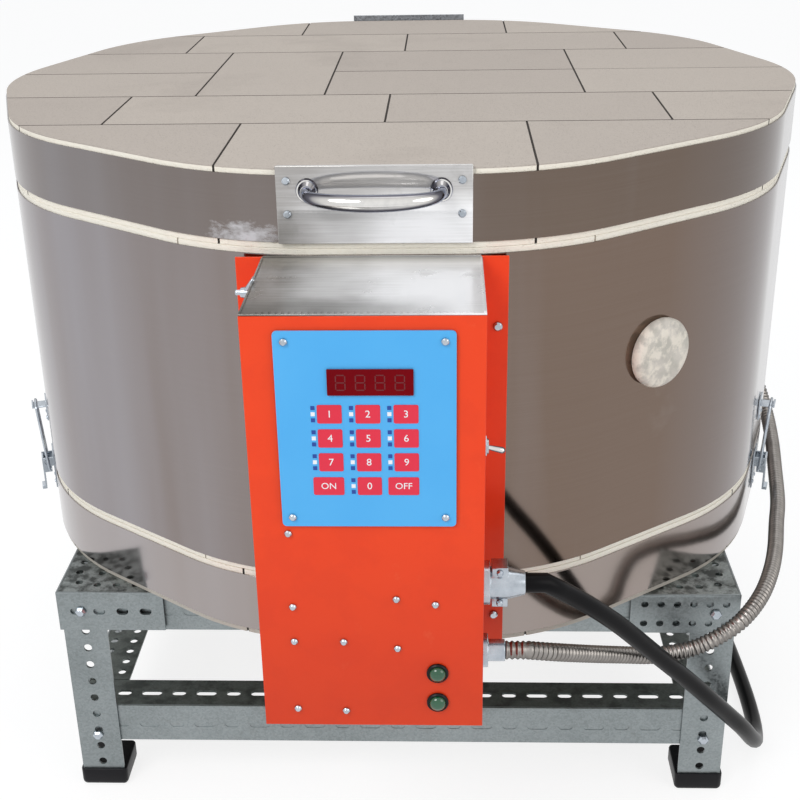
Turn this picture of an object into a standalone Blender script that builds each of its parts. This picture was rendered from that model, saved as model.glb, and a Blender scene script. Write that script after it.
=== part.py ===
"""Ten-sided glass kiln on a slotted-angle stand, with a hinged lid and a control box.

Metres, +Z up. The kiln is modelled about its own upright axis, with its front towards -Y,
and is then moved so that the origin lies under the middle of the whole object.
"""
import math

import bmesh
import bpy
from mathutils import Matrix, Vector

# Clearances and shared sheet sizes
GAP = 0.0003                   # between pieces that touch on the real kiln
OVERRUN = 0.004                # how far every cutter runs past what it cuts
JACKET_SHEET = 0.0010
SHAFT_GAP = 0.0004             # round a pin in its hole

# Drum: bricks in a ten-sided ring, wrapped in stainless sheet with soft corners
SIDES = 10
FLAT_RADIUS = 0.3580           # axis to the outside of a flat side
CORNER_RADIUS = 0.2050         # how softly the sheet turns each corner
CORNER_STEPS = 3
WALL = 0.0635                  # thickness of the ring's brick
RING_HEIGHT = 0.2735
FLOOR_SLAB = 0.0600
LID_SLAB = 0.0575
BAND_EDGE = 0.0043             # brick edge left bare beside every band
SEAT = 0.0003                  # between floor, ring and lid

# Heating element, laid in two grooves of the ring
ELEMENT_RADIUS = 0.0055
GROOVE_DEPTH = 0.0135
GROOVE_LOW = 0.085             # above the ring's underside
GROOVE_RISE = 0.133            # lower groove to upper groove
TAIL_SPREAD = 0.040            # kiln middle to each element tail
TAIL_REACH = 0.018             # how far a tail stands out of the jacket

# Thermocouple
PROBE_RADIUS = 0.0040
PROBE_HEIGHT = 0.190           # above the ring's underside
PROBE_REACH = 0.030            # into the chamber
PROBE_BLOCK = (0.030, 0.016, 0.020)

# Peephole and its plug
PEEP_TURN = math.radians(36)   # from the front, towards +X
PEEP_RISE = 0.0154              # above the middle between the two grooves
PLUG_HEAD_RADIUS = 0.0285
PLUG_HEAD = 0.0090
PLUG_NECK_RADIUS = 0.0235
PLUG_TIP_RADIUS = 0.0190

# Stand of slotted angle
STAND_WIDTH = 0.5950
STAND_DEPTH = 0.5720
STAND_HEIGHT = 0.2115          # floor to the seat under the kiln
FLANGE = 0.0385
ANGLE_SHEET = 0.0020
LOWER_RAIL_TOP = 0.0880
SLOT_LENGTH = 0.0200
SLOT_WIDTH = 0.0070
SLOT_PITCH = 0.0370
HOLE_WIDTH = 0.0075
HOLE_PITCH = 0.0190
GUSSET_REACH = 0.0940          # along the rails from the corner
GUSSET_DROP = 0.0385
FOOT_HEIGHT = 0.0180
FOOT_WALL = 0.0020
FOOT_SOLE = 0.0050

# Control box
BOX_OFFSET = -0.0085           # middle of the box, from the kiln's middle
BOX_WIDTH = 0.1580
BOX_DEPTH = 0.1170
BOX_BOTTOM = 0.2210
BOX_TOP = 0.5405
BOX_SHEET = 0.0012
BOX_LIP = 0.0120               # of the galvanised top, down behind the front
BACK_PLATE_WIDTH = 0.1960
BACK_PLATE_BOTTOM = 0.2150
WIRE_WINDOW = (0.1000, 0.1700)
WIRE_WINDOW_BOTTOM = 0.3350

# Controller on the front of the box
PANEL_WIDTH = 0.1176
PANEL_HEIGHT = 0.1415
PANEL_MIDDLE = 0.4590          # height above the floor
PANEL_SHEET = 0.0020
PANEL_MARGIN = 0.0090          # panel over the edge of its cut-out
PANEL_OFFSET = 0.0010          # panel's middle, from the box's middle
KEY_SIZE = (0.0162, 0.0137)
KEY_PITCH = (0.0250, 0.0176)
KEY_RISE = 0.0005
KEY_COLUMNS = 3
KEY_ROWS = 4
KEY_TOP_ROW = 0.4722           # height of the top row's middle
WINDOW_SIZE = (0.0560, 0.0184)
WINDOW_HEIGHT = 0.4948
WINDOW_SHEET = 0.0012
WINDOW_OFFSET = 0.0032         # from the panel's middle
BOARD_SHEET = 0.0016
BOARD_STANDOFF = 0.0090
STANDOFF_RADIUS = 0.0030
CHIP_SIZE = (0.0300, 0.0050, 0.0220)
RELAY_SIZE = (0.0460, 0.0300, 0.0600)
RELAY_FOOT = 0.0030
RELAY_MIDDLE = 0.2800

# Pilot lamps and toggle switch
LAMP_RADIUS = 0.0060
LAMP_FLANGE_RADIUS = 0.0078
LAMP_FLANGE = 0.0020
LAMP_RISE = 0.0055
LAMP_BODY = 0.0240
LAMP_OFFSET = 0.0466           # from the box's middle
LAMP_HEIGHTS = {"lower": 0.2423, "upper": 0.2675}
SWITCH_HEIGHT = 0.4190
SWITCH_SETBACK = 0.0585        # behind the front of the box
SWITCH_BODY = (0.0190, 0.0130, 0.0250)
BUSHING_RADIUS = 0.0058
BUSHING_LENGTH = 0.0090
SWITCH_NUT_RADIUS = 0.0082
SWITCH_NUT = 0.0022
BAT_LENGTH = 0.0170
BAT_ROOT_RADIUS = 0.0014
BAT_TIP_RADIUS = 0.0025
BAT_THROW = math.radians(13)   # either side of straight out

# Lid furniture
HANDLE_PLATE_WIDTH = 0.1380
PLATE_SHEET = 0.0016
PLATE_LIP = 0.0030             # stands above the lid's top
HANDLE_OFFSET = -0.0055
HANDLE_SPAN = 0.0940
HANDLE_REACH = 0.0320
HANDLE_BAR = 0.0062
HANDLE_DROP = 0.0144            # below the lid's top
HANDLE_PAD = (0.0220, 0.0040, 0.0240)
HINGE_WIDTH = 0.1310
HINGE_STANDOFF = 0.0095        # pin's axis, out from the jacket
PIN_RADIUS = 0.0030
KNUCKLE_RADIUS = 0.0062
KNUCKLES = 5
LEAF_SHEET = 0.0020
LEAF_CLEAR = 0.0085            # leaf's edge to the pin's axis
RING_LEAF_DROP = 0.0550

# Toggle latches across the lower seam
LATCH_TURN = math.radians(72)
LATCH_PIVOT_HEIGHT = 0.2555
PIVOT_STANDOFF = 0.0078        # pivot's axis, out from the jacket
LATCH_SHEET = 0.0015
LATCH_BASE = (0.0260, 0.0360)
EAR_REACH = 0.0045
EAR_SPACING = 0.0150
PIVOT_RADIUS = 0.0020
CHEEK_SPACING = 0.0100
LEVER_WIDTH = 0.0115
LEVER_LENGTH = 0.0280
BAIL_WIRE = 0.0014
BAIL_WIDTH = 0.0205
BAIL_LENGTH = 0.0700
CRANK = 0.0090                 # lever's pivot to the bail's pivot
CRANK_SET = math.radians(10)   # bail's pivot, past the dead centre
BAR_STANDOFF = 0.0030          # bail's bar, out from the lever's pivot
KEEPER_WIDTH = 0.0140
KEEPER_PLATE = (0.0220, 0.0200)
KEEPER_LIP = 0.0018

# Cable and conduit fittings on the right side of the box
CORD_RADIUS = 0.0075
CORD_RISE = 0.0600              # above the conduit
FITTING_SETBACK = 0.0590       # behind the front of the box
CORD_NUT_RADIUS = 0.0165
CORD_NUT = 0.0060
CORD_BARREL_RADIUS = 0.0125
CORD_BARREL = 0.0140
CORD_TAPER = 0.0120
CLAMP_SIZE = (0.0120, 0.0150, 0.0330)
CONDUIT_RADIUS = 0.0085
CONDUIT_GROOVE = 0.0013
CONDUIT_BORE = 0.0058
CONDUIT_RIBS = 62
CONDUIT_RISE = 0.0250           # above the bottom of the box
CONDUIT_NUT_RADIUS = 0.0130
CONDUIT_NUT = 0.0050
CONDUIT_BARREL = 0.0130
LOCKNUT = 0.0030
TERMINAL_BOX = (0.0800, 0.0340, 0.0700)
TERMINAL_BOX_SHEET = 0.0015
TERMINAL_BOX_TURN = math.radians(108)
TERMINAL_BOX_HEIGHT = 0.3650   # middle of the box

# Route of the conduit, in three stretches: from the control box's fitting, from the stand's front
# right corner at its top, and from the fitting under the terminal box
CONDUIT_FROM_BOX = [
    (0.0403, 0.0118, -0.0100), (0.0699, 0.0398, -0.0310), (0.0994, 0.0658, -0.0500),
]
CONDUIT_PAST_STAND = [
    (-0.0783, -0.0470, -0.0290), (-0.0475, -0.0350, -0.0310), (-0.0244, -0.0320, -0.0208),
    (-0.0041, -0.0240, -0.0095), (0.0159, 0.0010, -0.0030), (0.0322, 0.0360, -0.0007),
    (0.0469, 0.0810, -0.0029), (0.0595, 0.1310, -0.0025), (0.0695, 0.1710, 0.0005),
    (0.0785, 0.2260, 0.0075),
]
CONDUIT_TO_TERMINALS = [
    (0.0197, -0.1031, -0.0927), (0.0237, -0.0581, -0.0837), (0.0207, -0.0231, -0.0647),
    (0.0097, -0.0061, -0.0347),
]

# Route of the power cord: from its connector, then from the stand's front right corner at the floor
CORD_FROM_BOX = [
    (0.0299, 0.0098, -0.0140), (0.0513, 0.0208, -0.0335), (0.0775, 0.0368, -0.0622),
    (0.1110, 0.0588, -0.1042),
]
CORD_PAST_STAND = [
    (-0.0480, -0.0500, 0.1576), (-0.0275, -0.0370, 0.1310), (-0.0095, -0.0220, 0.1057),
    (0.0116, -0.0040, 0.0755), (0.0305, 0.0240, 0.0400), (0.0425, 0.0590, 0.0150),
    (0.0485, 0.0960, 0.0080), (0.0500, 0.1460, 0.0078), (0.0485, 0.2260, 0.0078),
    (0.0445, 0.3260, 0.0078), (0.0395, 0.4260, 0.0078), (0.0355, 0.5160, 0.0078),
    (0.0340, 0.5860, 0.0078),
]
DRUM_OVERHANG = 0.0605          # the drum past the stand, on either side
FLOOR_CLEAR = 0.0003
COIL_INSET = 0.0475             # in from the stand's side
COIL_SETBACK = 0.1040           # behind the stand
COIL_RADIUS = 0.0765           # middle of the turns
COIL_TURNS = 1.25
COIL_STEP = 0.0165             # across the turns
COIL_LAYER = 0.0162            # from layer to layer
COIL_POINTS = 24
PLUG_RADIUS = 0.0240
PLUG_LENGTH = 0.0420
PLUG_NECK = 0.0160
BLADE_SIZE = (0.0180, 0.0020, 0.0080)
BLADE_SPREAD = 0.0110

# Heights that follow from the sizes above
FLOOR_BOTTOM = STAND_HEIGHT + SEAT
RING_BOTTOM = FLOOR_BOTTOM + FLOOR_SLAB + SEAT
RING_TOP = RING_BOTTOM + RING_HEIGHT
LID_BOTTOM = RING_TOP + SEAT
LID_TOP = LID_BOTTOM + LID_SLAB
PEEP_HEIGHT = RING_BOTTOM + GROOVE_LOW + GROOVE_RISE / 2 + PEEP_RISE
HANDLE_HEIGHT = LID_TOP - HANDLE_DROP
CONDUIT_HEIGHT = BOX_BOTTOM + CONDUIT_RISE
CORD_HEIGHT = CONDUIT_HEIGHT + CORD_RISE
ROUTE_SIDE = max(STAND_WIDTH / 2, FLAT_RADIUS - DRUM_OVERHANG)
COIL_CENTRE = (ROUTE_SIDE - COIL_INSET, STAND_DEPTH / 2 + COIL_SETBACK)
BRICK_RADIUS = FLAT_RADIUS - JACKET_SHEET - GAP
BRICK_CORNER = CORNER_RADIUS - JACKET_SHEET - GAP
CHAMBER_RADIUS = BRICK_RADIUS - WALL
BOX_BACK = -(FLAT_RADIUS + GAP + BOX_SHEET + GAP)
BOX_FRONT = BOX_BACK - BOX_DEPTH
BOX_SIDE = BOX_OFFSET + BOX_WIDTH / 2
HALF_SIDE = math.pi / SIDES
ROUND_PROFILE = 0.5             # a circular bevel
STEEP = 0.5                     # share of a normal that tells sides from tops

FACING_FRONT = Matrix.Rotation(math.radians(90), 4, "X")


def reset_scene():
    for obj in list(bpy.data.objects):
        bpy.data.objects.remove(obj, do_unlink=True)
    for name in ("glass_kiln", "cutters"):
        group = bpy.data.collections.new(name)
        bpy.context.scene.collection.children.link(group)


def material(name, colour, roughness, metallic=0.0):
    found = bpy.data.materials.get(name)
    if found is None:
        found = bpy.data.materials.new(name)
        found.use_nodes = True
        shader = found.node_tree.nodes["Principled BSDF"]
        shader.inputs["Base Color"].default_value = (*colour, 1)
        shader.inputs["Roughness"].default_value = roughness
        shader.inputs["Metallic"].default_value = metallic
    return found


def finish(kind):
    finishes = {
        "stainless": ((0.42, 0.40, 0.39), 0.22, 1.0),
        "firebrick": ((0.80, 0.74, 0.64), 0.95, 0.0),
        "galvanised": ((0.55, 0.58, 0.58), 0.45, 1.0),
        "orange_paint": ((0.90, 0.13, 0.04), 0.40, 0.0),
        "blue_panel": ((0.08, 0.42, 0.85), 0.35, 0.0),
        "dark_window": ((0.25, 0.01, 0.02), 0.15, 0.0),
        "chrome": ((0.75, 0.76, 0.78), 0.10, 1.0),
        "zinc": ((0.62, 0.62, 0.60), 0.35, 1.0),
        "black_rubber": ((0.02, 0.02, 0.025), 0.60, 0.0),
        "black_plastic": ((0.03, 0.03, 0.03), 0.45, 0.0),
        "green_lens": ((0.01, 0.20, 0.06), 0.20, 0.0),
        "element_wire": ((0.30, 0.27, 0.25), 0.60, 1.0),
        "ceramic": ((0.86, 0.82, 0.74), 0.70, 0.0),
        "circuit_board": ((0.02, 0.22, 0.08), 0.50, 0.0),
    }
    return material(kind, *finishes[kind])


def add_object(name, mesh, kind=None, smooth=False):
    obj = bpy.data.objects.new(name, mesh)
    if kind is None:
        bpy.data.collections["cutters"].objects.link(obj)
        obj.hide_render = True
        obj.display_type = "WIRE"
    else:
        bpy.data.collections["glass_kiln"].objects.link(obj)
        mesh.materials.clear()
        mesh.materials.append(finish(kind))
    if smooth:
        mesh.shade_smooth()
        mesh.set_sharp_from_angle(angle=math.radians(40))
    return obj


def mesh_from(bm, name):
    bmesh.ops.recalc_face_normals(bm, faces=bm.faces)
    mesh = bpy.data.meshes.new(name)
    bm.to_mesh(mesh)
    bm.free()
    return mesh


def add_box(bm, low, high, turn=Matrix()):
    size = Vector(high) - Vector(low)
    middle = (Vector(high) + Vector(low)) / 2
    place = turn @ Matrix.Translation(middle) @ Matrix.Diagonal((*size, 1))
    bmesh.ops.create_cube(bm, size=1, matrix=place)


def box_mesh(name, low, high, turn=Matrix()):
    bm = bmesh.new()
    add_box(bm, low, high, turn)
    return mesh_from(bm, name)


def add_rod(bm, start, end, radius, end_radius=None, segments=16):
    """A round rod or cone between two points."""
    start = Vector(start)
    along = Vector(end) - start
    turn = along.to_track_quat("Z", "Y").to_matrix().to_4x4()
    place = Matrix.Translation(start + along / 2) @ turn
    bmesh.ops.create_cone(bm, cap_ends=True, segments=segments, radius1=radius,
                          radius2=radius if end_radius is None else end_radius,
                          depth=along.length, matrix=place)


def rod_mesh(name, start, end, radius, end_radius=None, segments=16):
    bm = bmesh.new()
    add_rod(bm, start, end, radius, end_radius, segments)
    return mesh_from(bm, name)


def boolean(obj, tool, operation="DIFFERENCE"):
    change = obj.modifiers.new(tool.name, "BOOLEAN")
    change.operation = operation
    change.solver = "EXACT"
    change.object = tool


def cut(obj, mesh):
    boolean(obj, add_object(mesh.name, mesh))


def join(obj, mesh):
    boolean(obj, add_object(mesh.name, mesh), "UNION")


def turned_mesh(name, profile, segments):
    """A closed turned shape about Z from (radius, height) points, top to bottom."""
    bm = bmesh.new()
    points = [bm.verts.new((radius, 0, height)) for radius, height in profile]
    for first, second in zip(points, points[1:]):
        bm.edges.new((first, second))
    source = bpy.data.meshes.new(name + "_profile")
    bm.to_mesh(source)
    bm.free()
    helper = bpy.data.objects.new(name + "_profile", source)
    bpy.context.scene.collection.objects.link(helper)
    screw = helper.modifiers.new("turn", "SCREW")
    screw.steps = segments
    screw.render_steps = segments
    screw.use_merge_vertices = True
    screw.merge_threshold = 0.0001
    mesh = evaluated_mesh(helper)
    bpy.data.objects.remove(helper, do_unlink=True)
    mesh.name = name
    return mesh


def evaluated_mesh(obj):
    bpy.context.view_layer.update()
    graph = bpy.context.evaluated_depsgraph_get()
    mesh = bpy.data.meshes.new_from_object(obj.evaluated_get(graph))
    bm = bmesh.new()
    bm.from_mesh(mesh)
    bmesh.ops.remove_doubles(bm, verts=bm.verts, dist=0.00001)
    bmesh.ops.recalc_face_normals(bm, faces=bm.faces)
    bm.to_mesh(mesh)
    bm.free()
    return mesh


def outline_mesh(name, points, thickness):
    """A flat outline in XY, given its thickness evenly about Z = 0."""
    curve = bpy.data.curves.new(name, "CURVE")
    curve.dimensions = "2D"
    curve.fill_mode = "BOTH"
    curve.extrude = thickness / 2
    spline = curve.splines.new("POLY")
    spline.points.add(len(points) - 1)
    for point, (x, y) in zip(spline.points, points):
        point.co = (x, y, 0, 1)
    spline.use_cyclic_u = True
    helper = bpy.data.objects.new(name, curve)
    bpy.context.scene.collection.objects.link(helper)
    mesh = evaluated_mesh(helper)
    bpy.data.objects.remove(helper, do_unlink=True)
    mesh.name = name
    return mesh


def tube_mesh(name, points, radius, resolution=2, radii=None):
    """A round tube along the points, with flat ends."""
    curve = bpy.data.curves.new(name, "CURVE")
    curve.dimensions = "3D"
    curve.bevel_depth = radius
    curve.bevel_resolution = resolution
    curve.use_fill_caps = True
    spline = curve.splines.new("POLY")
    spline.points.add(len(points) - 1)
    shares = radii or [1] * len(points)
    for point, place, share in zip(spline.points, points, shares):
        point.co = (*place, 1)
        point.radius = share
    helper = bpy.data.objects.new(name, curve)
    bpy.context.scene.collection.objects.link(helper)
    mesh = evaluated_mesh(helper)
    bpy.data.objects.remove(helper, do_unlink=True)
    mesh.name = name
    return mesh


def smooth_route(places, spacing):
    """Evenly spaced points on a smooth curve through the places."""
    places = [Vector(place) for place in places]
    ends = [places[0] * 2 - places[1]] + places + [places[-1] * 2 - places[-2]]
    fine = []
    for before, start, end, after in zip(ends, ends[1:], ends[2:], ends[3:]):
        for step in range(24):
            t = step / 24
            fine.append(0.5 * (2 * start + (end - before) * t
                               + (2 * before - 5 * start + 4 * end - after) * t ** 2
                               + (3 * start - before - 3 * end + after) * t ** 3))
    fine.append(places[-1])
    length = route_length(fine)
    count = max(2, round(length / spacing))
    return walk(fine, [length * index / count for index in range(count + 1)])


def route_length(points):
    return sum((second - first).length for first, second in zip(points, points[1:]))


def walk(points, distances):
    """The points that lie at the given distances along a line of points."""
    found = []
    travelled = 0
    index = 0
    for distance in distances:
        while index < len(points) - 2:
            step = (points[index + 1] - points[index]).length
            if travelled + step >= distance:
                break
            travelled += step
            index += 1
        first, second = points[index], points[index + 1]
        step = (second - first).length
        share = min(1, (distance - travelled) / step)
        found.append(first.lerp(second, share))
    return found


def outward(turn):
    """Unit vector that points out of the drum at a turn from the front."""
    return Vector((math.sin(turn), -math.cos(turn), 0))


def side_frame(turn, distance, height):
    """Frame on a side of the drum: X out of it, Y along it, Z up."""
    place = outward(turn) * distance + Vector((0, 0, height))
    return Matrix.Translation(place) @ Matrix.Rotation(turn - math.pi / 2, 4, "Z")


def drum_prism(name, flat_radius, corner_radius, low, high, capped=True):
    """The drum's ten-sided outline, with soft corners, between two heights."""
    bm = bmesh.new()
    place = Matrix.Translation((0, 0, (low + high) / 2)) @ Matrix.Rotation(HALF_SIDE, 4, "Z")
    corner = flat_radius / math.cos(HALF_SIDE)
    bmesh.ops.create_cone(bm, cap_ends=capped, segments=SIDES, radius1=corner,
                          radius2=corner, depth=high - low, matrix=place)
    if corner_radius:
        upright = [edge for edge in bm.edges
                   if abs(edge.verts[0].co.z - edge.verts[1].co.z) > (high - low) / 2]
        bmesh.ops.bevel(bm, geom=upright, offset=corner_radius * math.tan(HALF_SIDE),
                        offset_type="OFFSET", segments=CORNER_STEPS, profile=ROUND_PROFILE,
                        affect="EDGES", clamp_overlap=False)
    return mesh_from(bm, name)


def band(name, low, high):
    """A wrapped sheet round the drum."""
    obj = add_object(name, drum_prism(name, FLAT_RADIUS, CORNER_RADIUS, low, high, False),
                     "stainless", smooth=True)
    sheet = obj.modifiers.new("sheet", "SOLIDIFY")
    sheet.thickness = JACKET_SHEET
    sheet.offset = -1
    sheet.use_even_offset = True
    return obj


def add_slots(bm, places, along, through, length, width):
    """Slots with pointed round ends, as cutters through a flange."""
    along = Vector(along)
    through = Vector(through)
    across = through.cross(along)
    axes = Matrix((along, across, through)).transposed().to_4x4()
    shape = Matrix.Diagonal((length / 2, width / 2 / math.cos(math.radians(30)),
                             ANGLE_SHEET + OVERRUN, 1))
    for place in places:
        bmesh.ops.create_cone(bm, cap_ends=True, segments=6, radius1=1, radius2=1, depth=1,
                              matrix=Matrix.Translation(place) @ axes @ shape @
                              Matrix.Rotation(math.radians(90), 4, "Z"))


def spaced(length, pitch, margin):
    """Even places along a length, centred on it."""
    count = max(1, int((length - margin * 2) / pitch) + 1)
    return [(index - (count - 1) / 2) * pitch for index in range(count)]


def angle_mesh(name, length):
    """Angle section along X: one flange hangs down at Y = 0, the other lies back to +Y."""
    half = ANGLE_SHEET
    outline = [(0, 0), (0, -FLANGE), (half, -FLANGE), (half, -half), (FLANGE, -half), (FLANGE, 0)]
    mesh = outline_mesh(name, outline, length)
    mesh.transform(Matrix(((0, 0, 1, 0), (1, 0, 0, 0), (0, 1, 0, 0), (0, 0, 0, 1))))
    return mesh


def rail(name, length, frame, coped):
    """One horizontal angle, in a frame whose X runs along it and Z is up."""
    obj = add_object(name, angle_mesh(name, length), "galvanised")
    obj.matrix_world = frame
    slots = bmesh.new()
    places = [(x, ANGLE_SHEET / 2, -FLANGE / 2) for x in spaced(length, SLOT_PITCH, FLANGE)]
    add_slots(slots, places, (1, 0, 0), (0, 1, 0), SLOT_LENGTH, SLOT_WIDTH)
    tool = add_object(name + "_slots", mesh_from(slots, name + "_slots"))
    tool.matrix_world = frame
    boolean(obj, tool)
    if coped:
        cope = bmesh.new()
        inside = length / 2 - (FLANGE - ANGLE_SHEET) - GAP
        for side in (-1, 1):
            near = (side * inside, ANGLE_SHEET + GAP / 2, -ANGLE_SHEET - OVERRUN)
            far = (side * (length / 2 + OVERRUN), FLANGE + OVERRUN, OVERRUN)
            low = (min(near[0], far[0]), near[1], near[2])
            high = (max(near[0], far[0]), far[1], far[2])
            add_box(cope, low, high)
        tool = add_object(name + "_cope", mesh_from(cope, name + "_cope"))
        tool.matrix_world = frame
        boolean(obj, tool)
    return obj


def leg_mesh(name, corner_x, corner_y, low, high):
    """An upright angle whose outer corner points away from the kiln."""
    sx = math.copysign(1, corner_x)
    sy = math.copysign(1, corner_y)
    outline = [(corner_x, corner_y), (corner_x - sx * FLANGE, corner_y),
               (corner_x - sx * FLANGE, corner_y - sy * ANGLE_SHEET),
               (corner_x - sx * ANGLE_SHEET, corner_y - sy * ANGLE_SHEET),
               (corner_x - sx * ANGLE_SHEET, corner_y - sy * FLANGE),
               (corner_x, corner_y - sy * FLANGE)]
    mesh = outline_mesh(name, outline, high - low)
    mesh.transform(Matrix.Translation((0, 0, (low + high) / 2)))
    return mesh


def stand_corner(name, sx, sy):
    """Leg, foot and corner gusset at one corner of the stand."""
    corner_x = sx * (STAND_WIDTH / 2 - ANGLE_SHEET - GAP)
    corner_y = sy * (STAND_DEPTH / 2 - ANGLE_SHEET - GAP)
    leg_top = STAND_HEIGHT - ANGLE_SHEET - GAP
    leg_bottom = FOOT_SOLE + GAP
    leg = add_object("leg_" + name, leg_mesh("leg_" + name, corner_x, corner_y,
                                             leg_bottom, leg_top), "galvanised")
    low = FOOT_HEIGHT + HOLE_PITCH / 2
    heights = [low + HOLE_PITCH * index
               for index in range(int((leg_top - low - HOLE_WIDTH) / HOLE_PITCH) + 1)]
    holes = bmesh.new()
    places = [(corner_x - sx * FLANGE / 2, corner_y - sy * ANGLE_SHEET / 2, z) for z in heights]
    add_slots(holes, places, (0, 0, 1), (0, 1, 0), HOLE_WIDTH, HOLE_WIDTH)
    places = [(corner_x - sx * ANGLE_SHEET / 2, corner_y - sy * FLANGE / 2, z) for z in heights]
    add_slots(holes, places, (0, 0, 1), (1, 0, 0), HOLE_WIDTH, HOLE_WIDTH)
    cut(leg, mesh_from(holes, "leg_holes_" + name))
    stand_foot(name, sx, sy, corner_x, corner_y)
    stand_gusset(name, sx, sy)


def stand_foot(name, sx, sy, corner_x, corner_y):
    """Moulded cap that the leg's end stands in."""
    wide = FOOT_WALL + GAP
    outer = [corner_x + sx * wide, corner_x - sx * (FLANGE + wide)]
    outer_y = [corner_y + sy * wide, corner_y - sy * (FLANGE + wide)]
    foot = add_object("foot_" + name,
                      box_mesh("foot_" + name, (min(outer), min(outer_y), 0),
                               (max(outer), max(outer_y), FOOT_HEIGHT)), "black_plastic")
    edge = foot.modifiers.new("edge", "BEVEL")
    edge.width = FOOT_WALL / 2
    edge.segments = 1
    pocket = leg_mesh("foot_pocket_" + name, corner_x, corner_y, FOOT_SOLE,
                      FOOT_HEIGHT + OVERRUN)
    grow_outline(pocket)
    cut(foot, pocket)


def grow_outline(mesh):
    """Moves the faces of an upright angle's mesh out by the gap, all round."""
    bm = bmesh.new()
    bm.from_mesh(mesh)
    bm.normal_update()
    moves = {}
    for vert in bm.verts:
        shift = Vector()
        for face in vert.link_faces:
            normal = face.normal
            if abs(normal.z) < STEEP:
                for axis in (0, 1):
                    if abs(normal[axis]) > STEEP:
                        shift[axis] = math.copysign(GAP, normal[axis])
        moves[vert] = shift
    for vert, shift in moves.items():
        vert.co += shift
    bm.to_mesh(mesh)
    bm.free()


def stand_gusset(name, sx, sy):
    """Bent corner plate: a triangle on top of the rails, with two flanges turned down."""
    edge_x = STAND_WIDTH / 2
    edge_y = STAND_DEPTH / 2
    outline = [(sx * edge_x, sy * edge_y), (sx * (edge_x - GUSSET_REACH), sy * edge_y),
               (sx * edge_x, sy * (edge_y - GUSSET_REACH))]
    mesh = outline_mesh("gusset_" + name, outline, ANGLE_SHEET)
    mesh.transform(Matrix.Translation((0, 0, STAND_HEIGHT - ANGLE_SHEET / 2)))
    gusset = add_object("gusset_" + name, mesh, "galvanised")
    for side in ("front", "side"):
        low = [sx * (edge_x - GUSSET_REACH + ANGLE_SHEET), sy * (edge_y - ANGLE_SHEET)]
        high = [sx * edge_x, sy * edge_y]
        if side == "side":
            low = [sx * (edge_x - ANGLE_SHEET), sy * (edge_y - GUSSET_REACH + ANGLE_SHEET)]
        join(gusset, box_mesh("gusset_" + name + "_" + side,
                              (min(low[0], high[0]), min(low[1], high[1]),
                               STAND_HEIGHT - GUSSET_DROP),
                              (max(low[0], high[0]), max(low[1], high[1]),
                               STAND_HEIGHT - ANGLE_SHEET / 2)))
    holes = bmesh.new()
    height = STAND_HEIGHT - GUSSET_DROP / 2
    steps = [GUSSET_REACH * share for share in (0.20, 0.46, 0.72)]
    places = [(sx * (edge_x - step), sy * (edge_y - ANGLE_SHEET / 2), height) for step in steps]
    add_slots(holes, places, (1, 0, 0), (0, 1, 0), SLOT_LENGTH / 2, SLOT_WIDTH)
    places = [(sx * (edge_x - ANGLE_SHEET / 2), sy * (edge_y - step), height) for step in steps]
    add_slots(holes, places, (0, 1, 0), (1, 0, 0), SLOT_LENGTH / 2, SLOT_WIDTH)
    cut(gusset, mesh_from(holes, "gusset_holes_" + name))


def stand():
    corners = {"front_left": (-1, -1), "front_right": (1, -1),
               "back_left": (-1, 1), "back_right": (1, 1)}
    for name, (sx, sy) in corners.items():
        stand_corner(name, sx, sy)
    inset = (ANGLE_SHEET + GAP) * 2
    width = STAND_WIDTH - (inset + ANGLE_SHEET + GAP * 2) * 2
    depth = STAND_DEPTH - (inset + ANGLE_SHEET + GAP) * 2
    top = STAND_HEIGHT - ANGLE_SHEET - GAP
    for level, height in (("top", top), ("lower", LOWER_RAIL_TOP)):
        front = Matrix.Translation((0, -STAND_DEPTH / 2 + inset, height))
        back = (Matrix.Translation((0, STAND_DEPTH / 2 - inset, height))
                @ Matrix.Rotation(math.pi, 4, "Z"))
        left = (Matrix.Translation((-STAND_WIDTH / 2 + inset, 0, height))
                @ Matrix.Rotation(-math.pi / 2, 4, "Z"))
        right = (Matrix.Translation((STAND_WIDTH / 2 - inset, 0, height))
                 @ Matrix.Rotation(math.pi / 2, 4, "Z"))
        rail(level + "_rail_front", width, front, False)
        rail(level + "_rail_back", width, back, False)
        rail(level + "_rail_left", depth, left, True)
        rail(level + "_rail_right", depth, right, True)


def floor_section():
    slab = drum_prism("floor_slab", BRICK_RADIUS, BRICK_CORNER, FLOOR_BOTTOM,
                      FLOOR_BOTTOM + FLOOR_SLAB)
    add_object("floor_slab", slab, "firebrick")
    band("floor_band", FLOOR_BOTTOM + BAND_EDGE, FLOOR_BOTTOM + FLOOR_SLAB - BAND_EDGE)


def element_places():
    """Grooves' heights and the radius of the element's middle."""
    low = RING_BOTTOM + GROOVE_LOW
    return low, low + GROOVE_RISE, CHAMBER_RADIUS + GROOVE_DEPTH - ELEMENT_RADIUS - GAP


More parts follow.
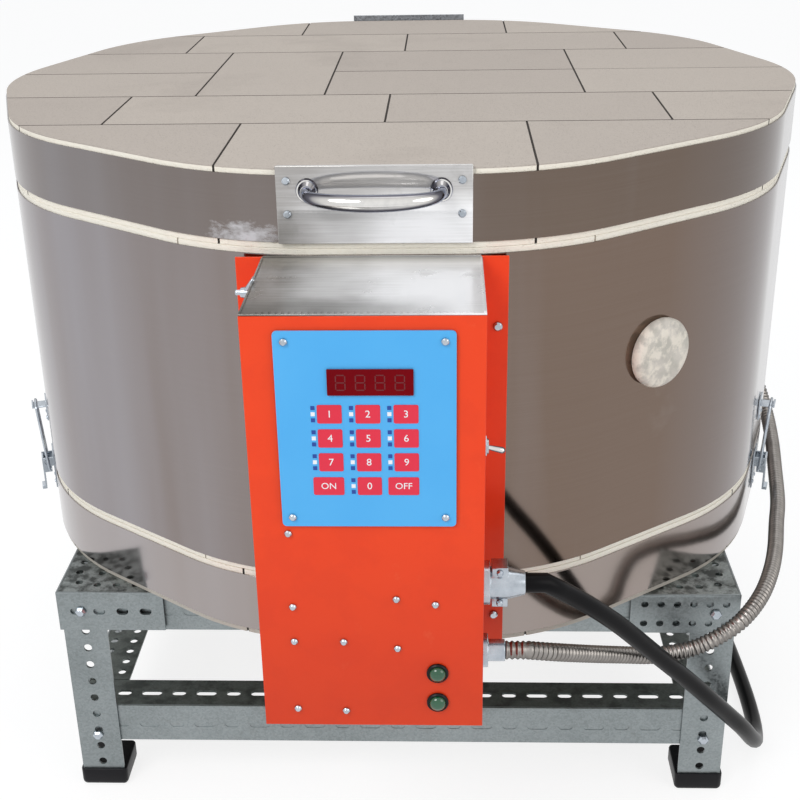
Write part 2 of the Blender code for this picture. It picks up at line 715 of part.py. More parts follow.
def ring_section():
    low, high, radius = element_places()
    brick = add_object("ring_brick", drum_prism("ring_brick", BRICK_RADIUS, BRICK_CORNER,
                                                RING_BOTTOM, RING_TOP), "firebrick")
    cut(brick, drum_prism("chamber", CHAMBER_RADIUS, 0, RING_BOTTOM - OVERRUN,
                          RING_TOP + OVERRUN))
    half = ELEMENT_RADIUS + GAP
    for name, height in (("low", low), ("high", high)):
        cut(brick, drum_prism("groove_" + name, CHAMBER_RADIUS + GROOVE_DEPTH, 0,
                              height - half, height + half))
    front = -(CHAMBER_RADIUS + GROOVE_DEPTH + GAP)
    cut(brick, box_mesh("groove_riser", (TAIL_SPREAD - half, front, low),
                        (TAIL_SPREAD + half, -CHAMBER_RADIUS + OVERRUN, high)))
    for name, height in (("low", low), ("high", high)):
        cut(brick, rod_mesh("tail_hole_" + name, (-TAIL_SPREAD, -BRICK_RADIUS - OVERRUN, height),
                            (-TAIL_SPREAD, -radius + ELEMENT_RADIUS, height), half + GAP,
                            segments=10))
    probe = RING_BOTTOM + PROBE_HEIGHT
    cut(brick, rod_mesh("probe_hole", (BOX_OFFSET, -BRICK_RADIUS - OVERRUN, probe),
                        (BOX_OFFSET, -CHAMBER_RADIUS + OVERRUN, probe),
                        PROBE_RADIUS + SHAFT_GAP * 2, segments=12))
    cut(brick, peep_mesh("peep_hole", SHAFT_GAP * 2))
    jacket = band("ring_jacket", RING_BOTTOM + BAND_EDGE, RING_TOP - BAND_EDGE)
    out = outward(PEEP_TURN)
    centre = Vector((0, 0, PEEP_HEIGHT))
    cut(jacket, rod_mesh("jacket_peep_hole", centre + out * (BRICK_RADIUS - OVERRUN),
                         centre + out * (FLAT_RADIUS + OVERRUN),
                         PLUG_NECK_RADIUS + SHAFT_GAP * 4, segments=24))
    cut(jacket, box_mesh("jacket_window",
                         (BOX_OFFSET - WIRE_WINDOW[0] / 2, -FLAT_RADIUS - OVERRUN,
                          WIRE_WINDOW_BOTTOM),
                         (BOX_OFFSET + WIRE_WINDOW[0] / 2, -BRICK_RADIUS + OVERRUN,
                          WIRE_WINDOW_BOTTOM + WIRE_WINDOW[1])))


def peep_mesh(name, ease):
    """The plug's tapered shank, grown by an ease all round, as a cutter through the wall."""
    out = outward(PEEP_TURN)
    centre = Vector((0, 0, PEEP_HEIGHT))
    taper = (PLUG_NECK_RADIUS - PLUG_TIP_RADIUS) / (FLAT_RADIUS - CHAMBER_RADIUS)
    inner = centre + out * (CHAMBER_RADIUS - OVERRUN)
    outer = centre + out * (FLAT_RADIUS + OVERRUN)
    return rod_mesh(name, inner, outer, PLUG_TIP_RADIUS - taper * OVERRUN + ease,
                    PLUG_NECK_RADIUS + taper * OVERRUN + ease, segments=24)


def peephole_plug():
    """Turned ceramic plug; its origin lies on its axis, at the jacket."""
    head = FLAT_RADIUS + GAP
    shank = head - CHAMBER_RADIUS
    round_edge = PLUG_HEAD / 3
    profile = [(0, PLUG_HEAD), (PLUG_HEAD_RADIUS - round_edge, PLUG_HEAD),
               (PLUG_HEAD_RADIUS, PLUG_HEAD - round_edge), (PLUG_HEAD_RADIUS, 0),
               (PLUG_NECK_RADIUS, 0), (PLUG_TIP_RADIUS, -shank), (0, -shank)]
    plug = add_object("peephole_plug", turned_mesh("peephole_plug", profile, 24), "ceramic",
                      smooth=True)
    frame = side_frame(PEEP_TURN, head, PEEP_HEIGHT)
    plug.matrix_world = frame @ Matrix.Rotation(math.pi / 2, 4, "Y")


def heating_element():
    """One element that goes round the lower groove, up the riser and back round the upper."""
    low, high, radius = element_places()
    corner = radius / math.cos(HALF_SIDE)
    turns = [-HALF_SIDE - math.pi * 2 / SIDES * index for index in range(SIDES)]
    loop = [Vector((math.sin(turn) * corner, -math.cos(turn) * corner, 0)) for turn in turns]
    tail = -(FLAT_RADIUS + TAIL_REACH)
    lower = Vector((0, 0, low))
    upper = Vector((0, 0, high))
    path = [Vector((-TAIL_SPREAD, tail, low)), Vector((-TAIL_SPREAD, -radius, low))]
    path += [point + lower for point in loop]
    path += [Vector((TAIL_SPREAD, -radius, low)), Vector((TAIL_SPREAD, -radius, high))]
    path += [point + upper for point in reversed(loop)]
    path += [Vector((-TAIL_SPREAD, -radius, high)), Vector((-TAIL_SPREAD, tail, high))]
    add_object("heating_element", tube_mesh("heating_element", path, ELEMENT_RADIUS),
               "element_wire", smooth=True)


def thermocouple():
    height = RING_BOTTOM + PROBE_HEIGHT
    block_face = -(FLAT_RADIUS + GAP + BOX_SHEET + GAP)
    tip = -(CHAMBER_RADIUS - PROBE_REACH)
    bm = bmesh.new()
    add_box(bm, (BOX_OFFSET - PROBE_BLOCK[0] / 2, block_face - PROBE_BLOCK[1],
                 height - PROBE_BLOCK[2] / 2),
            (BOX_OFFSET + PROBE_BLOCK[0] / 2, block_face, height + PROBE_BLOCK[2] / 2))
    probe = add_object("thermocouple", mesh_from(bm, "thermocouple"), "ceramic")
    join(probe, rod_mesh("probe_sheath", (BOX_OFFSET, block_face - PROBE_BLOCK[1] / 2, height),
                         (BOX_OFFSET, tip, height), PROBE_RADIUS, segments=12))


def lid_section():
    slab = drum_prism("lid_slab", BRICK_RADIUS, BRICK_CORNER, LID_BOTTOM, LID_TOP)
    add_object("lid_slab", slab, "firebrick")
    band("lid_band", LID_BOTTOM + BAND_EDGE, LID_TOP - BAND_EDGE)


def handle_plate():
    """Galvanised plate on the band, with a lip turned over the lid's edge."""
    face = -(FLAT_RADIUS + GAP)
    left = HANDLE_OFFSET - HANDLE_PLATE_WIDTH / 2
    right = HANDLE_OFFSET + HANDLE_PLATE_WIDTH / 2
    top = LID_TOP + PLATE_LIP
    plate = add_object("handle_plate",
                       box_mesh("handle_plate", (left, face - PLATE_SHEET, LID_BOTTOM + BAND_EDGE),
                                (right, face, top)), "galvanised")
    join(plate, box_mesh("handle_plate_lip", (left, face - PLATE_SHEET, LID_TOP + GAP),
                         (right, face + BAND_EDGE + PLATE_SHEET, LID_TOP + GAP + PLATE_SHEET)))


def lid_handle():
    """Chrome bow handle on two pads."""
    face = -(FLAT_RADIUS + GAP + PLATE_SHEET + GAP)
    middle = HANDLE_SPAN / 2
    steps = 10
    path = [(HANDLE_OFFSET - middle, face - HANDLE_PAD[1] / 2, HANDLE_HEIGHT)]
    for index in range(steps + 1):
        turn = math.pi * index / steps
        path.append((HANDLE_OFFSET - middle * math.cos(turn),
                     face - HANDLE_PAD[1] - (HANDLE_REACH - HANDLE_PAD[1])
                     * math.sin(turn) ** 0.6, HANDLE_HEIGHT))
    path.append((HANDLE_OFFSET + middle, face - HANDLE_PAD[1] / 2, HANDLE_HEIGHT))
    handle = add_object("lid_handle", tube_mesh("lid_handle", path, HANDLE_BAR, resolution=3),
                        "chrome", smooth=True)
    for side in (-1, 1):
        x = HANDLE_OFFSET + side * middle
        join(handle, box_mesh("handle_pad_" + ("left" if side < 0 else "right"),
                              (x - HANDLE_PAD[0] / 2, face - HANDLE_PAD[1],
                               HANDLE_HEIGHT - HANDLE_PAD[2] / 2),
                              (x + HANDLE_PAD[0] / 2, face,
                               HANDLE_HEIGHT + HANDLE_PAD[2] / 2)))


def hinge_place():
    return Vector((0, FLAT_RADIUS + HINGE_STANDOFF, RING_TOP + SEAT / 2))


def hinge_leaf(name, direction, reach, knuckle_numbers):
    """A leaf against the drum's back, with its knuckles round the pin."""
    pin = hinge_place()
    face = FLAT_RADIUS + GAP
    near = pin.z + direction * LEAF_CLEAR
    far = pin.z + direction * reach
    leaf = add_object(name, box_mesh(name, (-HINGE_WIDTH / 2, face, min(near, far)),
                                     (HINGE_WIDTH / 2, face + LEAF_SHEET, max(near, far))),
                      "galvanised")
    pitch = HINGE_WIDTH / KNUCKLES
    for number in knuckle_numbers:
        left = -HINGE_WIDTH / 2 + pitch * number + GAP
        right = left + pitch - GAP * 2
        inside = near + direction * LEAF_SHEET
        join(leaf, box_mesh("%s_web_%d" % (name, number),
                            (left + GAP, face, min(pin.z, inside)),
                            (right - GAP, pin.y - PIN_RADIUS - SHAFT_GAP * 3,
                             max(pin.z, inside))))
        join(leaf, rod_mesh("%s_knuckle_%d" % (name, number), (left, pin.y, pin.z),
                            (right, pin.y, pin.z), KNUCKLE_RADIUS, segments=14))
    cut(leaf, rod_mesh(name + "_bore", (-HINGE_WIDTH, pin.y, pin.z), (HINGE_WIDTH, pin.y, pin.z),
                       PIN_RADIUS + SHAFT_GAP, segments=14))


def hinge():
    pin = hinge_place()
    hinge_leaf("lid_hinge_leaf", 1, LID_TOP + PLATE_LIP * 2 - pin.z, (1, 3))
    hinge_leaf("ring_hinge_leaf", -1, RING_LEAF_DROP, (0, 2, 4))
    half = HINGE_WIDTH / 2 + PIN_RADIUS
    add_object("hinge_pin", rod_mesh("hinge_pin", (-half, pin.y, pin.z), (half, pin.y, pin.z),
                                     PIN_RADIUS, segments=14), "zinc", smooth=True)


def latch(name, turn):
    """Toggle latch on one side: base on the floor band, keeper on the ring."""
    frame = side_frame(turn, FLAT_RADIUS + PIVOT_STANDOFF, LATCH_PIVOT_HEIGHT)
    wall = -PIVOT_STANDOFF + GAP
    latch_base(name, frame, wall)
    latch_lever(name, frame)
    crank = Vector((-CRANK * math.sin(CRANK_SET), 0, -CRANK * math.cos(CRANK_SET)))
    bar = bail_bar(crank)
    latch_bail(name, frame, crank, bar)
    latch_keeper(name, frame, wall, bar)


def bail_bar(crank):
    rise = math.sqrt(BAIL_LENGTH ** 2 - (BAR_STANDOFF - crank.x) ** 2)
    return Vector((BAR_STANDOFF, 0, crank.z + rise))


def latch_base(name, frame, wall):
    plate_low = -LATCH_BASE[1] * 0.72
    base = add_object("latch_base_" + name,
                      box_mesh("latch_base_" + name, (wall, -LATCH_BASE[0] / 2, plate_low),
                               (wall + LATCH_SHEET, LATCH_BASE[0] / 2,
                                plate_low + LATCH_BASE[1])), "zinc")
    for side in (-1, 1):
        inner = side * (EAR_SPACING / 2 - LATCH_SHEET / 2)
        outer = side * (EAR_SPACING / 2 + LATCH_SHEET / 2)
        join(base, box_mesh("latch_ear_%s_%d" % (name, side > 0),
                            (wall + LATCH_SHEET / 2, min(inner, outer), -EAR_REACH),
                            (EAR_REACH, max(inner, outer), EAR_REACH)))
    cut(base, rod_mesh("latch_pivot_hole_" + name, (0, -EAR_SPACING, 0), (0, EAR_SPACING, 0),
                       PIVOT_RADIUS + SHAFT_GAP, segments=12))
    place_with_tools(base, frame)


def latch_lever(name, frame):
    """Channel lever with its own pivot pin, folded down along the base."""
    outside = EAR_REACH + LATCH_SHEET
    strip_low = -LEVER_LENGTH
    lever = add_object("latch_lever_" + name,
                       box_mesh("latch_lever_" + name,
                                (EAR_REACH - LATCH_SHEET, -LEVER_WIDTH / 2, strip_low),
                                (EAR_REACH, LEVER_WIDTH / 2, EAR_REACH)), "zinc")
    for side in (-1, 1):
        inner = side * (LEVER_WIDTH / 2 - LATCH_SHEET)
        outer = side * LEVER_WIDTH / 2
        join(lever, box_mesh("latch_cheek_%s_%d" % (name, side > 0),
                             (-PIVOT_RADIUS * 2, min(inner, outer), -CRANK - BAIL_WIRE * 2),
                             (EAR_REACH - LATCH_SHEET / 2, max(inner, outer), EAR_REACH / 2)))
    join(lever, box_mesh("latch_pull_" + name,
                         (EAR_REACH - LATCH_SHEET, -LEVER_WIDTH / 2, strip_low - LATCH_SHEET),
                         (outside + LATCH_SHEET, LEVER_WIDTH / 2, strip_low + LATCH_SHEET)))
    pin_half = EAR_SPACING / 2 + LATCH_SHEET / 2
    join(lever, rod_mesh("latch_pivot_" + name, (0, -pin_half, 0), (0, pin_half, 0),
                         PIVOT_RADIUS, segments=12))
    crank = (-CRANK * math.sin(CRANK_SET), 0, -CRANK * math.cos(CRANK_SET))
    cut(lever, rod_mesh("bail_hole_" + name, (crank[0], -EAR_SPACING, crank[2]),
                        (crank[0], EAR_SPACING, crank[2]), BAIL_WIRE + SHAFT_GAP, segments=12))
    place_with_tools(lever, frame)


def latch_bail(name, frame, crank, bar):
    """Wire bail: in through a cheek, up one side, across the keeper and down again."""
    inner = LEVER_WIDTH / 2 - LATCH_SHEET - GAP
    outer = BAIL_WIDTH / 2
    bend = BAIL_WIRE * 2
    rise = (bar - crank).normalized() * bend
    path = [Vector((0, -inner, 0)), Vector((0, -outer + bend, 0)),
            Vector((0, -outer, 0)) + rise]
    top = bar - crank
    path += [top - rise + Vector((0, -outer, 0)), top + Vector((0, -outer + bend, 0))]
    path += [Vector((point.x, -point.y, point.z)) for point in reversed(path)]
    bail = add_object("latch_bail_" + name,
                      tube_mesh("latch_bail_" + name, path, BAIL_WIRE, resolution=1),
                      "zinc", smooth=True)
    bail.matrix_world = frame @ Matrix.Translation(crank)


def latch_keeper(name, frame, wall, bar):
    """Keeper plate whose flange and lip hold the bail's bar down."""
    under = bar.z - BAIL_WIRE - GAP
    lip = bar.x + BAIL_WIRE + GAP * 3
    keeper = add_object("latch_keeper_" + name,
                        box_mesh("latch_keeper_" + name,
                                 (wall, -KEEPER_PLATE[0] / 2, under - KEEPER_PLATE[1] * 0.7),
                                 (wall + LATCH_SHEET, KEEPER_PLATE[0] / 2,
                                  under + KEEPER_PLATE[1] * 0.3)), "zinc")
    join(keeper, box_mesh("keeper_flange_" + name,
                          (wall + LATCH_SHEET / 2, -KEEPER_WIDTH / 2, under - LATCH_SHEET),
                          (lip + LATCH_SHEET, KEEPER_WIDTH / 2, under)))
    join(keeper, box_mesh("keeper_lip_" + name,
                          (lip, -KEEPER_WIDTH / 2, under - LATCH_SHEET / 2),
                          (lip + LATCH_SHEET, KEEPER_WIDTH / 2, under + KEEPER_LIP)))
    place_with_tools(keeper, frame)


def place_with_tools(obj, frame):
    """Moves an object and everything that cuts or joins it."""
    obj.matrix_world = frame
    for change in obj.modifiers:
        if change.type == "BOOLEAN":
            change.object.matrix_world = frame


def control_box():
    left = BOX_OFFSET - BOX_WIDTH / 2
    right = BOX_OFFSET + BOX_WIDTH / 2
    back_plate = add_object("box_back_plate",
                            box_mesh("box_back_plate",
                                     (BOX_OFFSET - BACK_PLATE_WIDTH / 2, BOX_BACK + GAP,
                                      BACK_PLATE_BOTTOM),
                                     (BOX_OFFSET + BACK_PLATE_WIDTH / 2,
                                      BOX_BACK + GAP + BOX_SHEET, BOX_TOP)), "orange_paint")
    cut(back_plate, box_mesh("plate_window",
                             (BOX_OFFSET - WIRE_WINDOW[0] / 2, BOX_BACK - OVERRUN,
                              WIRE_WINDOW_BOTTOM),
                             (BOX_OFFSET + WIRE_WINDOW[0] / 2, BOX_BACK + OVERRUN,
                              WIRE_WINDOW_BOTTOM + WIRE_WINDOW[1])))
    cover = add_object("box_cover", box_mesh("box_cover", (left, BOX_FRONT, BOX_BOTTOM),
                                             (right, BOX_BACK, BOX_TOP - BOX_SHEET - GAP)),
                       "orange_paint")
    cut(cover, box_mesh("cover_inside",
                        (left + BOX_SHEET, BOX_FRONT + BOX_SHEET, BOX_BOTTOM + BOX_SHEET),
                        (right - BOX_SHEET, BOX_BACK + OVERRUN, BOX_TOP + OVERRUN)))
    panel_x = BOX_OFFSET + PANEL_OFFSET
    hole_x = PANEL_WIDTH / 2 - PANEL_MARGIN
    hole_z = PANEL_HEIGHT / 2 - PANEL_MARGIN
    cut(cover, box_mesh("panel_cutout",
                        (panel_x - hole_x, BOX_FRONT - OVERRUN, PANEL_MIDDLE - hole_z),
                        (panel_x + hole_x, BOX_FRONT + OVERRUN, PANEL_MIDDLE + hole_z)))
    for name, height in LAMP_HEIGHTS.items():
        x = BOX_OFFSET + LAMP_OFFSET
        cut(cover, rod_mesh("lamp_hole_" + name, (x, BOX_FRONT - OVERRUN, height),
                            (x, BOX_FRONT + OVERRUN, height), LAMP_RADIUS + SHAFT_GAP))
    holes = {"switch_hole": (BOX_FRONT + SWITCH_SETBACK, SWITCH_HEIGHT, BUSHING_RADIUS),
             "cord_hole": (BOX_FRONT + FITTING_SETBACK, CORD_HEIGHT, CORD_BARREL_RADIUS),
             "conduit_hole": (BOX_FRONT + FITTING_SETBACK, CONDUIT_HEIGHT, CONDUIT_RADIUS)}
    for name, (y, z, radius) in holes.items():
        cut(cover, rod_mesh(name, (right - OVERRUN, y, z), (right + OVERRUN, y, z),
                            radius + SHAFT_GAP))
    top = add_object("box_top", box_mesh("box_top", (left, BOX_FRONT, BOX_TOP - BOX_SHEET),
                                         (right, BOX_BACK, BOX_TOP)), "galvanised")
    join(top, box_mesh("box_top_lip",
                       (left + BOX_SHEET + GAP, BOX_FRONT + BOX_SHEET + GAP, BOX_TOP - BOX_LIP),
                       (right - BOX_SHEET - GAP, BOX_FRONT + BOX_SHEET * 2 + GAP,
                        BOX_TOP - BOX_SHEET / 2)))


def controller():
    """Panel with raised keys, its display window and the circuit board behind it."""
    x = BOX_OFFSET + PANEL_OFFSET
    back = BOX_FRONT - GAP
    face = back - PANEL_SHEET
    panel = add_object("controller_panel",
                       box_mesh("controller_panel",
                                (x - PANEL_WIDTH / 2, face, PANEL_MIDDLE - PANEL_HEIGHT / 2),
                                (x + PANEL_WIDTH / 2, back, PANEL_MIDDLE + PANEL_HEIGHT / 2)),
                       "blue_panel")
    keys = bmesh.new()
    for row in range(KEY_ROWS):
        for column in range(KEY_COLUMNS):
            key_x = x + (column - (KEY_COLUMNS - 1) / 2) * KEY_PITCH[0]
            key_z = KEY_TOP_ROW - row * KEY_PITCH[1]
            add_box(keys, (key_x - KEY_SIZE[0] / 2, face - KEY_RISE, key_z - KEY_SIZE[1] / 2),
                    (key_x + KEY_SIZE[0] / 2, face + PANEL_SHEET / 2, key_z + KEY_SIZE[1] / 2))
    join(panel, mesh_from(keys, "keys"))
    window_x = x + WINDOW_OFFSET
    window_face = face - WINDOW_SHEET
    add_object("display_window",
               box_mesh("display_window",
                        (window_x - WINDOW_SIZE[0] / 2, window_face - GAP,
                         WINDOW_HEIGHT - WINDOW_SIZE[1] / 2),
                        (window_x + WINDOW_SIZE[0] / 2, face - GAP,
                         WINDOW_HEIGHT + WINDOW_SIZE[1] / 2)), "dark_window")
    circuit_board(x, back)


def circuit_board(x, back):
    """Board on four standoffs behind the panel's cut-out, with its transformer block."""
    half_x = PANEL_WIDTH / 2 - PANEL_MARGIN - OVERRUN
    half_z = PANEL_HEIGHT / 2 - PANEL_MARGIN - OVERRUN
    front = back + GAP + BOARD_STANDOFF
    board = add_object("controller_board",
                       box_mesh("controller_board", (x - half_x, front, PANEL_MIDDLE - half_z),
                                (x + half_x, front + BOARD_SHEET, PANEL_MIDDLE + half_z)),
                       "circuit_board")
    posts = bmesh.new()
    inset = STANDOFF_RADIUS * 2
    for sx in (-1, 1):
        for sz in (-1, 1):
            place = (x + sx * (half_x - inset), PANEL_MIDDLE + sz * (half_z - inset))
            add_rod(posts, (place[0], back + GAP, place[1]),
                    (place[0], front + BOARD_SHEET / 2, place[1]), STANDOFF_RADIUS, segments=8)
    join(board, mesh_from(posts, "board_posts"))
    join(board, box_mesh("board_block",
                         (x - CHIP_SIZE[0] / 2, front + BOARD_SHEET / 2,
                          PANEL_MIDDLE - CHIP_SIZE[2] / 2),
                         (x + CHIP_SIZE[0] / 2, front + BOARD_SHEET + CHIP_SIZE[1],
                          PANEL_MIDDLE + CHIP_SIZE[2] / 2)))


def relay():
    """Power relay on its foot, on the back plate."""
    seat = BOX_BACK
    foot = RELAY_FOOT
    body = add_object("power_relay",
                      box_mesh("power_relay",
                               (BOX_OFFSET - RELAY_SIZE[0] / 2, seat - RELAY_SIZE[1],
                                RELAY_MIDDLE - RELAY_SIZE[2] / 2 + foot * 2),
                               (BOX_OFFSET + RELAY_SIZE[0] / 2, seat - foot / 2,
                                RELAY_MIDDLE + RELAY_SIZE[2] / 2 - foot * 2)), "black_plastic")
    join(body, box_mesh("relay_foot",
                        (BOX_OFFSET - RELAY_SIZE[0] / 2, seat - foot,
                         RELAY_MIDDLE - RELAY_SIZE[2] / 2),
                        (BOX_OFFSET + RELAY_SIZE[0] / 2, seat,
                         RELAY_MIDDLE + RELAY_SIZE[2] / 2)))


def pilot_lamps():
    for name, height in LAMP_HEIGHTS.items():
        profile = [(0, LAMP_RISE), (LAMP_RADIUS * 0.7, LAMP_RISE * 0.85),
                   (LAMP_RADIUS, LAMP_FLANGE), (LAMP_FLANGE_RADIUS, LAMP_FLANGE),
                   (LAMP_FLANGE_RADIUS, 0), (LAMP_RADIUS, 0), (LAMP_RADIUS, -LAMP_BODY),
                   (0, -LAMP_BODY)]
        lamp = add_object("pilot_lamp_" + name,
                          turned_mesh("pilot_lamp_" + name, profile, 16), "green_lens",
                          smooth=True)
        lamp.matrix_world = (Matrix.Translation((BOX_OFFSET + LAMP_OFFSET, BOX_FRONT - GAP,
                                                 height)) @ FACING_FRONT)


def toggle_switch():
    """Switch body inside the box, bushing and nut through its side, and the bat."""
    y = BOX_FRONT + SWITCH_SETBACK
    inner = BOX_SIDE - BOX_SHEET - GAP
    outer = BOX_SIDE + GAP
    body = add_object("toggle_switch",
                      box_mesh("toggle_switch",
                               (inner - SWITCH_BODY[0], y - SWITCH_BODY[1] / 2,
                                SWITCH_HEIGHT - SWITCH_BODY[2] / 2),
                               (inner, y + SWITCH_BODY[1] / 2,
                                SWITCH_HEIGHT + SWITCH_BODY[2] / 2)), "zinc")
    mouth = outer + SWITCH_NUT + BUSHING_RADIUS / 4
    join(body, rod_mesh("switch_bushing", (inner - BUSHING_RADIUS / 2, y, SWITCH_HEIGHT),
                        (mouth, y, SWITCH_HEIGHT), BUSHING_RADIUS, segments=12))
    join(body, rod_mesh("switch_nut", (outer, y, SWITCH_HEIGHT),
                        (outer + SWITCH_NUT, y, SWITCH_HEIGHT), SWITCH_NUT_RADIUS, segments=6))
    pivot = mouth - BUSHING_LENGTH / 2
    well = pivot - BAT_ROOT_RADIUS * 1.5 - GAP
    cut(body, rod_mesh("switch_well", (well, y, SWITCH_HEIGHT), (mouth + OVERRUN, y, SWITCH_HEIGHT),
                       BAT_ROOT_RADIUS + SHAFT_GAP * 2, BUSHING_RADIUS, segments=12))
    profile = [(0, BAT_LENGTH), (BAT_TIP_RADIUS * 0.7, BAT_LENGTH - BAT_TIP_RADIUS * 0.3),
               (BAT_TIP_RADIUS, BAT_LENGTH - BAT_TIP_RADIUS), (BAT_ROOT_RADIUS, 0),
               (BAT_ROOT_RADIUS, -BAT_ROOT_RADIUS), (0, -BAT_ROOT_RADIUS)]
    bat = add_object("toggle_bat", turned_mesh("toggle_bat", profile, 10), "chrome", smooth=True)
    bat.matrix_world = (Matrix.Translation((pivot, y, SWITCH_HEIGHT))
                        @ Matrix.Rotation(math.pi / 2 + BAT_THROW, 4, "Y"))


def side_fitting(name, height, nut_radius, nut, barrel_radius, barrel, taper, tip_radius):
    """A turned fitting through the side of the box, with its locknut inside."""
    y = BOX_FRONT + FITTING_SETBACK
    inner = BOX_SIDE - BOX_SHEET - GAP
    outer = BOX_SIDE + GAP
    profile = [(0, nut + barrel + taper), (tip_radius, nut + barrel + taper),
               (barrel_radius, nut + barrel), (barrel_radius, nut), (nut_radius, nut),
               (nut_radius, 0), (barrel_radius, 0), (barrel_radius, -(outer - inner)),
               (nut_radius, -(outer - inner)), (nut_radius, -(outer - inner) - LOCKNUT),
               (0, -(outer - inner) - LOCKNUT)]
    fitting = add_object(name, turned_mesh(name, profile, 16), "zinc", smooth=True)
    frame = Matrix.Translation((outer, y, height)) @ Matrix.Rotation(math.pi / 2, 4, "Y")
    fitting.matrix_world = frame
    return fitting, Vector((outer + nut + barrel + taper + GAP, y, height))


def cord_fitting():
    """Squeeze connector: barrel with a clamp across it, tapered to the cord."""
    fitting, end = side_fitting("cord_connector", CORD_HEIGHT, CORD_NUT_RADIUS, CORD_NUT,
                                CORD_BARREL_RADIUS - SHAFT_GAP, CORD_BARREL, CORD_TAPER,
                                CORD_RADIUS * 1.2)
    start = BOX_SIDE + GAP + CORD_NUT + (CORD_BARREL - CLAMP_SIZE[0]) / 2
    join(fitting, box_mesh("cord_clamp",
                           (start, end.y - CLAMP_SIZE[1] / 2, CORD_HEIGHT - CLAMP_SIZE[2] / 2),
                           (start + CLAMP_SIZE[0], end.y + CLAMP_SIZE[1] / 2,
                            CORD_HEIGHT + CLAMP_SIZE[2] / 2)))
    return end


def terminal_box():
    """Sheet cover over the terminals behind the drum, where the conduit ends."""
    frame = side_frame(TERMINAL_BOX_TURN, FLAT_RADIUS + GAP, TERMINAL_BOX_HEIGHT)
    length, depth, height = TERMINAL_BOX
    cover = add_object("terminal_box",
                       box_mesh("terminal_box", (0, -length / 2, -height / 2),
                                (depth, length / 2, height / 2)), "galvanised")
    sheet = TERMINAL_BOX_SHEET
    cut(cover, box_mesh("terminal_inside",
                        (-OVERRUN, -length / 2 + sheet, -height / 2 + sheet),
                        (depth - sheet, length / 2 - sheet, height / 2 - sheet)))
    place_with_tools(cover, frame)
    socket = Vector((depth / 2, -length / 2 + CONDUIT_NUT_RADIUS + sheet * 2, -height / 2))
    join(cover, rod_mesh("terminal_fitting",
                         frame @ (socket + Vector((0, 0, sheet / 2))),
                         frame @ (socket - Vector((0, 0, CONDUIT_BARREL))),
                         CONDUIT_NUT_RADIUS, segments=12))
    return frame @ (socket - Vector((0, 0, CONDUIT_BARREL + GAP)))


def conduit(start, end):
    """Ribbed metal conduit with its bore."""
    straight = CONDUIT_RADIUS * 2
    route = [start, start + Vector((straight, 0, 0))]
    stand_top = Vector((ROUTE_SIDE, -STAND_DEPTH / 2, STAND_HEIGHT))
    route += [start + Vector(place) for place in CONDUIT_FROM_BOX]
    route += [stand_top + Vector(place) for place in CONDUIT_PAST_STAND]
    route += [end + Vector(place) for place in CONDUIT_TO_TERMINALS]
    route += [end - Vector((0, 0, straight)), end]
    middle = smooth_route(route[1:-1], CONDUIT_RADIUS)
    line = [start] + middle + [end]
    length = route_length(line)
    pitch = (length - straight * 2) / CONDUIT_RIBS
    groove_share = 1 - CONDUIT_GROOVE / CONDUIT_RADIUS
    spots = [0, straight]
    shares = [1, groove_share]
    for index in range(CONDUIT_RIBS):
        spots += [straight + pitch * (index + 0.25), straight + pitch * (index + 0.75)]
        shares += [1, groove_share]
    spots += [length - straight, length]
    shares += [1, 1]
    points = walk(line, spots)
    tube = add_object("conduit", tube_mesh("conduit", points, CONDUIT_RADIUS, 2, shares),
                      "zinc", smooth=True)
    bore_line = [start - Vector((straight, 0, 0))] + walk(
        line, [length * index / 44 for index in range(1, 44)]) + [end + Vector((0, 0, straight))]
    cut(tube, tube_mesh("conduit_bore", bore_line, CONDUIT_BORE, 1))
    print("conduit length %.3f" % length)


def coil_points():
    """Two layers of turns that spiral in, climb and spiral out again."""
    turns = COIL_TURNS / 2
    points = []
    count = round(COIL_POINTS * COIL_TURNS)
    for index in range(count + 1):
        t = index / COIL_POINTS
        inward = t if t <= turns else COIL_TURNS - t
        radius = COIL_RADIUS + COIL_STEP * (turns / 2 - inward)
        climb = min(1, max(0, (t - turns + 0.25) / 0.5))
        lift = COIL_LAYER * (climb * climb * (3 - 2 * climb))
        turn = math.pi * 2 * t
        points.append(Vector((COIL_CENTRE[0] + radius * math.cos(turn),
                              COIL_CENTRE[1] + radius * math.sin(turn),
                              CORD_RADIUS + FLOOR_CLEAR + lift)))
    return points


def power_cord(exit_point):
    """Free stretch from the connector to the floor and round to the coil, and the coil."""
    coil = coil_points()
    straight = CORD_RADIUS * 2
    arrive = coil[0] - Vector((0, straight, 0))
    free_end = arrive - Vector((0, GAP, 0))
    route = [exit_point, exit_point + Vector((straight, 0, 0))]
    stand_foot_point = Vector((ROUTE_SIDE, -STAND_DEPTH / 2, 0))
    route += [exit_point + Vector(place) for place in CORD_FROM_BOX]
    route += [stand_foot_point + Vector(place) for place in CORD_PAST_STAND]
    route += [free_end - Vector((0, straight, 0)), free_end]
    middle = smooth_route(route[1:-1], CORD_RADIUS * 4.6)
    points = [exit_point] + middle + [free_end]
    add_object("power_cord", tube_mesh("power_cord", points, CORD_RADIUS), "black_rubber",
               smooth=True)
    along = coil[-1] - coil[-2]
    along.z = 0
    along.normalize()
    leave = coil[-1] + along * straight * 1.5
    leave.z = PLUG_RADIUS + FLOOR_CLEAR
    tail = leave + along * straight
    wound = [arrive] + coil + [leave, tail]
    add_object("power_cord_coil", tube_mesh("power_cord_coil", wound, CORD_RADIUS, 1),
               "black_rubber", smooth=True)
    print("cord length %.3f, least gap in the coil %.4f"
          % (route_length(points) + route_length(wound), least_gap(wound)))
    return tail + along * GAP, along


